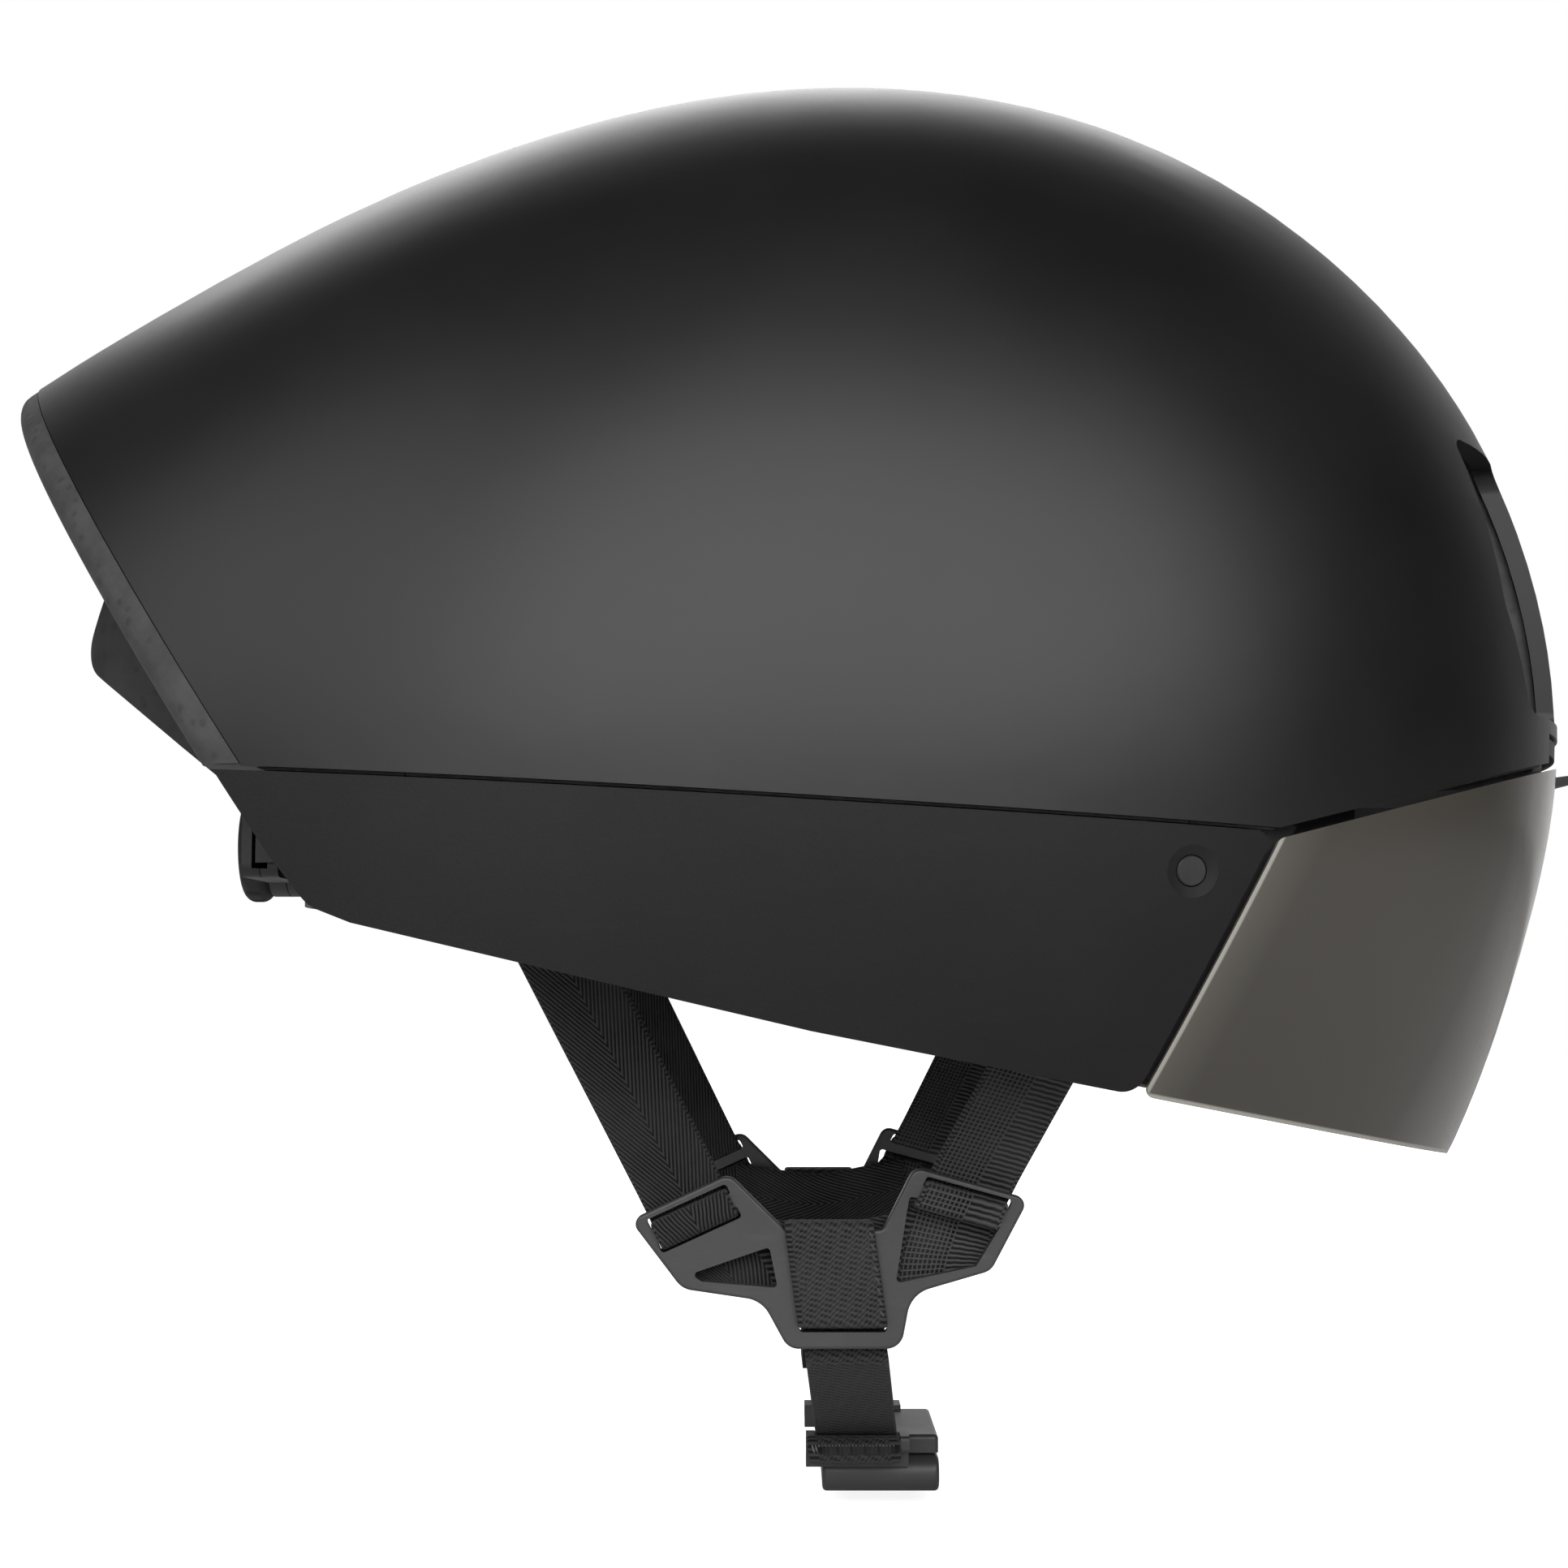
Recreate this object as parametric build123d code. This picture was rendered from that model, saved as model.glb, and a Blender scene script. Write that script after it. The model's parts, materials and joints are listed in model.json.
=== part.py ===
from build123d import *
from functools import cache
import math
import os

# Aero time trial helmet.
# Frame: +X is the way the rider looks, +Y is the rider's left, +Z is up.
# The origin is the middle of the head opening at brow height.
# Lengths are in millimetres and angles in degrees.

# Outer body, drawn as fan sections that turn about a line across the helmet
fan_x = -10.0
fan_z = -84.0
body_reach = 216.0
body_half_width = 103.0
rear_taper_length = 300.0
low_tuck_length = 190.0
low_tuck_z = 5.0
fan_start = -10
fan_step = 10
reach_shares = (0.486, 0.564, 0.637, 0.716, 0.814, 0.895, 0.954, 0.990, 1.006,
                1.001, 0.982, 0.958, 0.940, 0.934, 0.947, 0.963, 0.949)
side_roundness = 2.6
crown_roundness = 3.8
arch_start = 12
arch_stations = 16

# Walls, seams and general clearances
shell_wall = 1.5
panel_wall = 2.4
bond_line = 0.2
seam_gap = 0.7
running_gap = 0.4
seat_gap = 0.3
overrun = 60.0
blade_reach = 220.0

# Side view of the shell and side panels
rear_cut_x = -84.0
rear_cut_z = -4.1
rear_cut_angle = 125.0
eps_band = 5.8
eps_band_r = 3.5
panel_rear_top = (-88.9, -4.8)
panel_front_top = (75.6, -14.8)
panel_front_low = (54.2, -55.2)
panel_low_mid = (4.2, -45.3)
panel_low_rear = (-66.3, -28.8)
panel_heel = (-73.0, -26.2)
panel_heel_rear = (-79.6, -18.0)
panel_corner_r = 2.0
panel_low_corner_r = 4.0
panel_heel_r = 6.0

# Visor
lens_wall = 2.0
lens_rear_top = (76.4, -15.8)
lens_rear_low = (55.3, -55.4)
lens_top_slope = 0.262
lens_low_slope = -0.2
lens_low_corner_r = 1.5
nose_half_width = 27.0
nose_height = 22.0
nose_base_z = -69.5
nose_r = 9.0
tab_width = 18.0
tab_length = 5.0
tab_thickness = 1.8
tab_rise = 0.8
tab_drop = 1.2

# Front vents, one each side of a middle rib
vent_rib = 36.0
vent_top_z = 57.0
vent_low_z = 6.5
vent_top_y = 52.0
vent_wide_y = 58.5
vent_wide_z = 26.0
vent_low_y = 56.0
vent_corner_r = 5.0
vent_depth = 17.0
lip_wall = 1.2
lip_depth = 3.6
duct_inner_y = 21.0
duct_outer_y = 48.0
duct_low_z = 24.0
duct_top_z = 44.0
duct_r = 5.0

# Head opening
cavity_x = 12.0
cavity_z = 2.0
cavity_half_length = 103.0
cavity_half_width = 81.0
cavity_height = 101.0
groove_depth = 12.0
groove_width = 16.0
inner_groove_y = 21.0
outer_groove_y = 49.0
groove_front_x = 72.0
outer_groove_front_x = 52.0
outer_groove_rear_x = -52.0
groove_floor_z = 34.0

# Liner rim seen from the side, behind the panels and under the brow
rim_rear = (-62.0, -13.0)
rim_mid = (10.0, -18.5)
rim_temple = (70.0, -22.0)
rim_cheek = (77.0, -12.5)
rim_brow = (92.0, -8.5)
rim_front_z = -3.5
liner_front_x = 62.0
liner_tail_x = -58.0
brow_inset = 4.0

# Exhaust at the tail
tail_wall = 12.0
tail_front_x = -66.0
tail_block_foot_x = -94.0
tail_block_low = (-102.0, 2.0)
tail_block_tip = (-122.5, 18.0)
tail_block_top = (-118.0, 28.5)
tail_block_shoulder = (-108.0, 64.0)
tail_block_crown = (-66.0, 92.0)
tail_tip_r = 6.0
tail_front_half_width = 72.0
tail_tip_half_width = 42.0
tail_plan_r = 12.0
exhaust_width = 16.0
exhaust_low_z = 62.0
exhaust_top_z = 76.0
exhaust_front_x = -40.0

# Brow dock and the magnets that hold the visor
dock_half_width = 44.0
dock_depth = 11.0
dock_drop = 9.0
dock_notch_top = 5.2
magnet_r = 4.0
magnet_length = 2.0
cup_wall = 1.4
cup_length = 2.6
brow_magnet_z = -3.6
temple_magnet = (84.0, -22.5)
temple_dock_length = 13.0
temple_dock_low_z = -29.5
temple_dock_wall = 4.0
temple_dock_inset = 5.4

# Magnet buttons in the side panels
button_x = 62.3
button_z = -21.0
button_r = 2.35
button_length = 1.7
button_proud = 0.1
dimple_r = 4.3
dimple_depth = 0.8

# Comfort pads
pad_thickness = 6.0
pad_r = 2.0
brow_pad_half_width = 52.0
brow_pad_low_z = -2.0
brow_pad_top_z = 20.0
crown_pad_front_x = 58.0
crown_pad_rear_x = -38.0
crown_pad_width = 20.0
side_pad_front_x = 44.0
side_pad_rear_x = -34.0
side_pad_low_z = 18.0
side_pad_top_z = 44.0

# Webbing and strap yokes
web_width = 13.6
web_thickness = 1.2
yoke_y = 64.0
yoke_thickness = 2.6
yoke_edge_r = 0.5
yoke_width = 64.8
yoke_height = 29.2
yoke_rear_x = -25.0
yoke_top_z = -67.7
yoke_outline_shares = (
    (0.0, 0.295, 0.055), (0.248, 0.038, 0.08), (0.389, 0.346, 0.035), (0.633, 0.346, 0.035),
    (0.713, 0.0, 0.07), (1.0, 0.178, 0.055), (0.904, 0.572, 0.10), (0.704, 0.70, 0.17),
    (0.678, 1.0, 0.10), (0.396, 1.0, 0.10), (0.330, 0.736, 0.17), (0.131, 0.672, 0.13))
front_window_shares = ((0.700, 0.160), (0.936, 0.298), (0.866, 0.547), (0.665, 0.640))
corner_window_shares = ((0.151, 0.590), (0.349, 0.440), (0.370, 0.665), (0.180, 0.630))
slot_gap = 2.0
middle_bar = 2.0
slot_margin = 0.3
rear_slot = (-15.5, -74.2)
rear_slot_angle = 24.4
rear_strap_angle = 116.7
front_slot = (29.8, -72.0)
front_slot_angle = -15.4
front_strap_angle = 62.2
bridge_bar = 2.0
bottom_bar = 2.7
window_r = 0.6
rear_strap_top = (76.0, -5.0)
front_strap_top = (80.0, -11.0)
anchor_width = 20.0
anchor_thickness = 6.0
anchor_height = 12.0
anchor_show = 1.5
strap_straight = 5.0
rear_strap_end = 7.0
front_strap_end = 9.0

# Chin straps
chin_top_x = 7.4
chin_drift = 0.137
chin_inner_ply = 7.0
chin_straight = 2.0
chin_bar_y = 20.0
chin_bar_z = -119.6
chin_bar_r = 1.2
wrap_gap = 0.3
wrap_step = 30
sewn_length = 4.0
tail_length = 30.0
tail_near = 8.0
keeper_length = 6.0
keeper_wall = 1.2
keeper_from_bar = 20.0

# Magnetic slide buckle, closed, under the chin
buckle_x = 17.4
buckle_width = 21.0
buckle_length = 33.0
buckle_height = 6.4
buckle_low_z = -129.0
loop_margin = 0.8
loop_cheek = 1.6
loop_height = 2.8
loop_back = 2.8
slider_thickness = 3.2
rail_stem = 5.0
rail_head = 10.0
rail_height = 2.0
rail_neck = 1.3
rail_stop = 3.0
buckle_magnet_r = 3.5
buckle_magnet_length = 1.2
buckle_round = 0.8

# Rear fit system
dial_z = -12.0
dial_x = -101.6
dial_r = 10.4
dial_length = 5.0
grip_wall = 1.4
grip_round = 2.0
grip_notches = 18
grip_notch_r = 0.9
knob_dish = 1.2
dial_gap = 0.4
housing_length = 6.4
housing_wall = 1.5
housing_half_width = 31.0
housing_height = 14.0
housing_boss_r = 9.4
pinion_teeth = 8
pinion_pitch_r = 3.2
tooth_height = 1.0
tooth_width = 0.85
tooth_gap = 0.2
shaft_r = 1.6
shaft_gap = 0.08
rack_back = 1.3
rack_thickness = 2.2
rack_inner_end = 5.0
frame_wall = 2.0
frame_inset = 1.5
frame_half_width = 36.0
frame_low_z = -23.6
frame_top_z = -3.6
frame_r = 6.0
cradle_pad_y = 23.0
cradle_pad_width = 20.0
cradle_pad_height = 15.0
cradle_pad_thickness = 4.0
stud_r = 2.4
stud_gap = 0.3
height_strap_width = 14.0
height_strap_wall = 1.4
height_strap_inset = 6.6
height_strap_top_z = 36.0
height_strap_low_z = -17.0
guide_height = 10.0
guide_low_z = 23.0
guide_wall = 2.0
band_wall = 1.2
band_height = 9.0
band_inset = 1.6
band_front_x = 44.0
band_release_x = -72.0
band_pin_r = 2.2
band_pin_bite = 6.0
band_pin_back = 6.0
relief_clearance = 1.5


def cos(angle):
    return math.cos(math.radians(angle))


def sin(angle):
    return math.sin(math.radians(angle))


# Outer body

def fan_reach(angle):
    """Distance from the fan line to the body's middle line at an angle."""
    place = (angle - fan_start) / fan_step
    first = min(max(math.floor(place), 0), len(reach_shares) - 2)
    part = place - first
    last = len(reach_shares) - 1
    before, here, after, beyond = (
        reach_shares[min(max(first + shift, 0), last)] for shift in (-1, 0, 1, 2)
    )
    share = here + part * ((after - before) / 2 + part * (
        before - 5 * here / 2 + 2 * after - beyond / 2
        + part * (3 * (here - after) + beyond - before) / 2))
    return body_reach * share


def side_width(x, z):
    """Half width of the body at its widest, at a place in the side view."""
    rear = max(fan_x - x, 0) / rear_taper_length
    low = max(low_tuck_z - z, 0) / low_tuck_length
    return body_half_width * (1 - rear ** 2) * (1 - low ** 2)


def roundness(angle):
    return side_roundness + (crown_roundness - side_roundness) * sin(angle) ** 2


def skin_y(x, z):
    """Half width of the outer surface at a place in the side view."""
    rise = math.hypot(x - fan_x, z - fan_z)
    angle = math.degrees(math.atan2(z - fan_z, x - fan_x))
    share = rise / fan_reach(angle)
    return side_width(x, z) * math.sqrt(1 - share ** roundness(angle))


def skin_point(angle, lean, inset):
    """Point of the surface in one fan section, at a lean from the fan line."""
    low, high = 0, 2 * body_reach
    for _ in range(40):
        reach = (low + high) / 2
        rise = reach * sin(lean)
        across = reach * cos(lean)
        x = fan_x + rise * cos(angle)
        z = fan_z + rise * sin(angle)
        wide = abs(across) / (side_width(x, z) - inset)
        tall = rise / (fan_reach(angle) - inset)
        if wide ** 2 + tall ** roundness(angle) > 1:
            high = reach
        else:
            low = reach
    return Vector(x, across, z)


@cache
def dome(inset):
    """Solid inside the outer surface, moved in by an inset."""
    sections = []
    lean_step = (180 - 2 * arch_start) / arch_stations
    for station in range(len(reach_shares)):
        angle = fan_start + fan_step * station
        arch = [skin_point(angle, arch_start + lean_step * k, inset) for k in range(arch_stations + 1)]
        curve = Edge.make_spline(arch)
        chord = Edge.make_line(arch[-1], arch[0])
        sections.append(Wire([curve, chord]))
    return Solid.make_loft(sections)


def skin_frame(x, z):
    """Plane on the right side of the surface, with its normal pointing out."""
    step = seam_gap
    along_x = (skin_y(x + step, z) - skin_y(x - step, z)) / (2 * step)
    along_z = (skin_y(x, z + step) - skin_y(x, z - step)) / (2 * step)
    normal = Vector(-along_x, -1, -along_z)
    return Plane(origin=(x, -skin_y(x, z), z), z_dir=normal)


# Flat outlines turned into solids

def rounded(face, corners):
    """Round chosen corners, given as point and radius, of a flat face."""
    for point, radius in corners:
        spot = face.vertices().sort_by_distance(point)[0]
        face = face.fillet_2d(radius, [spot])
    return face


def side_face(outline, y=0.0):
    return Face(Wire.make_polygon([Vector(x, y, z) for x, z in outline], close=True))


def side_prism(outline, y_start, y_end, corners=()):
    """Solid between two planes across Y, from an outline in the side view."""
    face = side_face(outline, y_start)
    face = rounded(face, [(Vector(x, y_start, z), radius) for (x, z), radius in corners])
    return Solid.extrude(face, Vector(0, y_end - y_start, 0))


def front_prism(outline, x_start, x_end, radius=0.0):
    """Solid between two planes across X, from an outline in the front view."""
    face = Face(Wire.make_polygon([Vector(x_start, y, z) for y, z in outline], close=True))
    if radius > 0:
        face = face.fillet_2d(radius, face.vertices())
    return Solid.extrude(face, Vector(x_end - x_start, 0, 0))


def front_rect(y_low, y_high, z_low, z_high):
    return ((y_low, z_low), (y_high, z_low), (y_high, z_high), (y_low, z_high))


def plan_prism(outline, z_start, z_end, radius=0.0):
    """Solid between two heights, from an outline seen from above."""
    face = Face(Wire.make_polygon([Vector(x, y, z_start) for x, y in outline], close=True))
    if radius > 0:
        face = face.fillet_2d(radius, face.vertices())
    return Solid.extrude(face, Vector(0, 0, z_end - z_start))


def block(x_range, y_range, z_range):
    size = [pair[1] - pair[0] for pair in (x_range, y_range, z_range)]
    middle = [(pair[1] + pair[0]) / 2 for pair in (x_range, y_range, z_range)]
    return Solid.make_box(*size).moved(Location(tuple(m - s / 2 for m, s in zip(middle, size))))


def box_on(seat, width, depth, height):
    """Box centred on a plane's origin."""
    corner = seat.origin - seat.x_dir * (width / 2) - seat.y_dir * (depth / 2) - seat.z_dir * (height / 2)
    return Solid.make_box(width, depth, height, Plane(origin=corner, x_dir=seat.x_dir, z_dir=seat.z_dir))


def rod_x(x_start, x_end, y, z, radius):
    return Solid.make_cylinder(radius, x_end - x_start, Plane(origin=(x_start, y, z), z_dir=(1, 0, 0)))


def left_of(shape):
    """The matching piece of the other side."""
    return mirror(shape, about=Plane.XZ)


def write(name, *solids):
    export_step(Compound(children=[s for shape in solids for s in shape.solids()]), f"parts/{name}.step")


# Lines of the side view

def panel_top_z(x):
    rise = (panel_front_top[1] - panel_rear_top[1]) / (panel_front_top[0] - panel_rear_top[0])
    return panel_rear_top[1] + rise * (x - panel_rear_top[0])


def lens_top_z(x):
    return lens_rear_top[1] + lens_top_slope * (x - lens_rear_top[0])


def rear_plane_x(z, setback):
    """Place of the slanting rear cut, moved back by a setback along its normal."""
    foot_x = rear_cut_x - setback / sin(rear_cut_angle)
    return foot_x + (z - rear_cut_z) * cos(rear_cut_angle) / sin(rear_cut_angle)


def shell_outline(grow=0.0):
    front_x = body_half_width + blade_reach / 2
    top_z = blade_reach
    low_z = rear_cut_z
    shelf_x = lens_rear_top[0] - grow
    return (
        (rear_plane_x(low_z, grow), panel_top_z(rear_cut_x) + seam_gap - grow),
        (shelf_x, panel_top_z(shelf_x) + seam_gap - grow),
        (front_x, lens_top_z(front_x) + seam_gap - grow),
        (front_x, top_z),
        (rear_plane_x(top_z, grow), top_z),
    )


panel_outline = (
    panel_rear_top,
    panel_front_top,
    panel_front_low,
    panel_low_mid,
    panel_low_rear,
    panel_heel,
    panel_heel_rear,
)
panel_corners = (
    (panel_front_top, panel_corner_r),
    (panel_front_low, panel_low_corner_r),
    (panel_heel, panel_heel_r),
)


def vent_face(grow):
    inner = vent_rib / 2
    outline = (
        (inner, vent_top_z),
        (vent_top_y, vent_top_z),
        (vent_wide_y, vent_wide_z),
        (vent_low_y, vent_low_z),
        (inner, vent_low_z),
    )
    face = Face(Wire.make_polygon([Vector(0, -y, z) for y, z in outline], close=True))
    face = face.fillet_2d(vent_corner_r, face.vertices())
    return Face(face.outer_wire().offset_2d(grow)) if grow else face


def vent_prism(grow, x_start):
    """Straight cutter for the right vent, running forward."""
    face = vent_face(grow).moved(Location((x_start, 0, 0)))
    return Solid.extrude(face, Vector(blade_reach, 0, 0))


# Shell, panels and visor

def outer_shell():
    outline = side_prism(shell_outline(), -blade_reach, blade_reach)
    skin = (dome(0) & outline) - dome(shell_wall)
    front = vent_prism(-lip_wall, 0)
    skin = skin - front - left_of(front)
    ring = (dome(0) - dome(lip_depth)) & (vent_prism(0, 0) - front)
    notch = block((0, blade_reach), (-dock_half_width, dock_half_width), (-overrun, dock_notch_top))
    return skin + ring + left_of(ring) - notch


def side_panel():
    body = dome(0) & side_prism(panel_outline, -blade_reach, 0, panel_corners)
    body = body - dome(panel_wall)
    seat = skin_frame(button_x, button_z)
    ball_r = (dimple_r ** 2 + dimple_depth ** 2) / (2 * dimple_depth)
    dimple = Solid.make_sphere(ball_r, angle1=-90, angle2=90, angle3=360)
    dimple = dimple.moved(Location(seat.origin + seat.z_dir * (ball_r - dimple_depth)))
    bore = Solid.make_cylinder(button_r + seat_gap / 2, 2 * panel_wall, seat.offset(-2 * panel_wall))
    return body - dimple - bore


def panel_button():
    seat = skin_frame(button_x, button_z)
    base = seat.offset(-dimple_depth + button_proud + dimple_depth / 2 - button_length)
    disc = Solid.make_cylinder(button_r, button_length, base)
    return disc.chamfer(button_proud * 2, None, disc.edges().sort_by_distance(seat.origin)[:1])


def lens_outline(drop=0.0):
    front_x = body_half_width + blade_reach / 2
    run = front_x - lens_rear_low[0]
    return (
        (lens_rear_top[0], lens_rear_top[1] - drop),
        lens_rear_low,
        (front_x, lens_rear_low[1] + lens_low_slope * run),
        (front_x, lens_top_z(front_x) - drop),
    )


def nose_arch():
    """Cutter for the nose, narrow at its top."""
    apex_z = nose_base_z + nose_height
    outline = (
        (-nose_half_width - nose_r, nose_base_z - nose_height),
        (-nose_half_width, nose_base_z),
        (-nose_r, apex_z),
        (nose_r, apex_z),
        (nose_half_width, nose_base_z),
        (nose_half_width + nose_r, nose_base_z - nose_height),
    )
    face = Face(Wire.make_polygon([Vector(0, y, z) for y, z in outline], close=True))
    face = rounded(face, [(Vector(0, y, apex_z), nose_r) for y in (-nose_r, nose_r)])
    return Solid.extrude(face, Vector(blade_reach, 0, 0))


def visor_lens():
    corners = ((lens_rear_top, lens_low_corner_r), (lens_rear_low, lens_low_corner_r))
    sheet = dome(0) & side_prism(lens_outline(), -blade_reach, blade_reach, corners)
    return sheet - dome(lens_wall) - nose_arch()


def brow_x():
    """Place of the outer surface on the middle line at the height of the brow magnet."""
    angle = math.degrees(math.atan2(brow_magnet_z - fan_z, body_half_width))
    for _ in range(20):
        rise = fan_reach(angle) * cos(angle)
        angle = math.degrees(math.atan2(brow_magnet_z - fan_z, rise))
    return fan_x + rise


def visor_grip():
    """Small tongue that the fingers pull, at the top of the lens."""
    foot_x = brow_x()
    tip_x = foot_x + tab_length
    top_z = lens_top_z(foot_x) - tab_drop
    outline = (
        (foot_x - lens_wall / 2, top_z),
        (tip_x, top_z + tab_rise),
        (tip_x, top_z + tab_rise - tab_thickness),
        (foot_x - lens_wall / 2, top_z - tab_thickness),
    )
    blade = side_prism(outline, -tab_width / 2, tab_width / 2)
    blade = blade.fillet(tab_thickness / 3, blade.edges().filter_by(Axis.Y).sort_by(Axis.X)[-2:])
    return blade - dome(-seat_gap)


def magnet_places(inset):
    """Planes of the brow seat and the two temple seats, facing out."""
    temple = skin_frame(*temple_magnet).offset(-inset)
    mirrored = Plane(
        origin=(temple.origin.X, -temple.origin.Y, temple.origin.Z),
        z_dir=(temple.z_dir.X, -temple.z_dir.Y, temple.z_dir.Z),
    )
    brow = Plane(origin=(brow_x() - inset, 0, brow_magnet_z), z_dir=(1, 0, 0))
    return brow, temple, mirrored


def discs(inset, radius, length):
    """Three discs that start at an inset and run inward."""
    return [Solid.make_cylinder(radius, length, seat.offset(-length)) for seat in magnet_places(inset)]


def visor_cups():
    """Cups on the inside of the lens, open toward the helmet."""
    cup_r = magnet_r + cup_wall
    solids = discs(lens_wall - lens_wall / 2, cup_r, cup_length + lens_wall / 2)
    pockets = discs(lens_wall + cup_length - magnet_length, magnet_r + seat_gap / 2, overrun)
    inside = dome(lens_wall + seat_gap / 2)
    return [(solid & inside) - pocket for solid, pocket in zip(solids, pockets)]


def visor_magnets():
    length = magnet_length - seat_gap
    return discs(lens_wall + cup_length - magnet_length + seat_gap / 2, magnet_r, length)


dock_face = lens_wall + cup_length + running_gap


def dock_magnets():
    return discs(dock_face + seat_gap, magnet_r, magnet_length)


def dock_recesses():
    """Room in front of the dock magnets for the cups, and holes for the magnets."""
    cup_r = magnet_r + cup_wall + running_gap
    rooms = [Solid.make_cylinder(cup_r, overrun, seat) for seat in magnet_places(dock_face)]
    holes = discs(dock_face - seat_gap, magnet_r + seat_gap / 2, magnet_length + 3 * seat_gap)
    return rooms, holes


def brow_dock():
    """Bar under the shell's brow, with a lip that fills the notch."""
    foot_z = lens_top_z(brow_x()) + running_gap
    lip = block((0, blade_reach), (-dock_half_width + seam_gap, dock_half_width - seam_gap),
                (foot_z, dock_notch_top - seam_gap))
    bar = block((0, blade_reach), (-dock_half_width + seam_gap, dock_half_width - seam_gap),
                (foot_z - dock_drop, dock_notch_top - seam_gap))
    wedge_front = body_half_width + blade_reach / 2
    under = side_prism(
        ((0, lens_top_z(0) + running_gap), (wedge_front, lens_top_z(wedge_front) + running_gap),
         (wedge_front, foot_z + dock_drop), (0, foot_z + dock_drop)),
        -dock_half_width, dock_half_width)
    lip = (dome(shell_wall / 3) & lip & under) - dome(dock_depth)
    bar = (dome(dock_face - magnet_length) & bar) - dome(dock_depth)
    rooms, holes = dock_recesses()
    return lip + bar - rooms[0] - holes[0]


def rim_z(x):
    """Height of the liner's rim between the cheek and the brow."""
    rise = (rim_brow[1] - rim_cheek[1]) / (rim_brow[0] - rim_cheek[0])
    return rim_cheek[1] + rise * (x - rim_cheek[0])


def temple_dock():
    rear_x = temple_magnet[0] - temple_dock_length / 2
    front_x = temple_magnet[0] + temple_dock_length / 2
    outline = (
        (rear_x, rim_z(rear_x) - seat_gap),
        (front_x, rim_z(front_x) - seat_gap),
        (front_x, temple_dock_low_z),
        (rear_x, temple_dock_low_z),
    )
    corners = tuple((point, pad_r) for point in outline[2:])
    body = side_prism(outline, -blade_reach, 0, corners)
    body = (dome(temple_dock_inset) & body) - dome(temple_dock_inset + temple_dock_wall)
    rooms, holes = dock_recesses()
    return body - rooms[1] - holes[1]


# Liner

@cache
def cavity(inset):
    """Head opening, drawn in by an inset: a dome over an upright oval shaft."""
    long = cavity_half_length - inset
    wide = cavity_half_width - inset
    tall = cavity_height - inset
    ball = scale(Solid.make_sphere(tall, angle1=-90, angle2=90, angle3=360), by=(long / tall, wide / tall, 1))
    oval = Face(Wire.make_ellipse(long, wide, Plane.XY))
    shaft = Solid.extrude(oval, Vector(0, 0, -blade_reach))
    return (ball + shaft).moved(Location((cavity_x, 0, cavity_z)))


def liner_floor():
    """Side outline of everything above the liner's lower rim."""
    front_x = body_half_width + blade_reach / 2
    rear_z = panel_top_z(rear_plane_x(rear_cut_z, eps_band)) + seam_gap
    return (
        (rear_plane_x(rear_z, eps_band), rear_z),
        (rear_cut_x + seam_gap, rear_z),
        rim_rear,
        rim_mid,
        rim_temple,
        rim_cheek,
        rim_brow,
        (rim_brow[0] + dock_half_width, rim_front_z),
        (front_x, rim_front_z),
        (front_x, blade_reach),
        (rear_plane_x(blade_reach, eps_band), blade_reach),
    )


@cache
def tail_block():
    """Inner block behind the head, cut off below as a tail."""
    outline = (
        (tail_front_x, rear_cut_z),
        (tail_block_foot_x, rear_cut_z),
        tail_block_low,
        tail_block_tip,
        tail_block_top,
        tail_block_shoulder,
        tail_block_crown,
    )
    corners = ((tail_block_tip, tail_tip_r), (tail_block_top, tail_tip_r))
    side = side_prism(outline, -tail_front_half_width, tail_front_half_width, corners)
    side = side & dome(shell_wall + bond_line)
    plan = (
        (tail_front_x, -tail_front_half_width),
        (tail_block_tip[0], -tail_tip_half_width),
        (tail_block_tip[0], tail_tip_half_width),
        (tail_front_x, tail_front_half_width),
    )
    face = Face(Wire.make_polygon([Vector(x, y, rear_cut_z) for x, y in plan], close=True))
    face = rounded(face, [(Vector(x, y, rear_cut_z), tail_plan_r) for x, y in plan[1:3]])
    return side & Solid.extrude(face, Vector(0, 0, blade_reach))


def exhaust_pocket():
    """Hollow of the tail, between the outer wall and the inner block."""
    region = block((-blade_reach, tail_front_x), (-blade_reach, blade_reach), (-overrun, blade_reach))
    hollow = dome(shell_wall + bond_line + tail_wall) & region
    return hollow - tail_block() - cavity(-tail_wall)


def groove(y, front_x, rear_x):
    """Air channel in the roof of the head opening."""
    slab = block((rear_x, front_x), (y - groove_width / 2, y + groove_width / 2),
                 (groove_floor_z, blade_reach))
    return cavity(-groove_depth) & slab


def liner_ducts():
    """Everything that carries air through the right half of the liner."""
    duct = front_prism(
        ((-duct_inner_y, duct_low_z), (-duct_outer_y, duct_low_z),
         (-duct_outer_y, duct_top_z), (-duct_inner_y, duct_top_z)), cavity_x, blade_reach, duct_r)
    mouth = vent_prism(bond_line, 0) - dome(vent_depth)
    inner = groove(-inner_groove_y, groove_front_x, tail_front_x)
    outer = groove(-outer_groove_y, outer_groove_front_x, outer_groove_rear_x)
    hole = block((-blade_reach, exhaust_front_x), (-inner_groove_y - exhaust_width / 2,
                 -inner_groove_y + exhaust_width / 2), (exhaust_low_z, exhaust_top_z))
    hole = hole & dome(shell_wall + bond_line + tail_wall)
    return [mouth, duct, inner, outer, hole]


def tail_band():
    """Side outline of the strip of liner that shows behind the shell."""
    top_z = blade_reach
    low_z = rear_cut_z - seam_gap
    low_x = rear_plane_x(low_z, seam_gap / 2)
    return (
        (rear_plane_x(low_z, eps_band), low_z),
        (low_x, low_z),
        (rear_plane_x(top_z, seam_gap / 2), top_z),
        (rear_plane_x(top_z, eps_band), top_z),
    )


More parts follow.
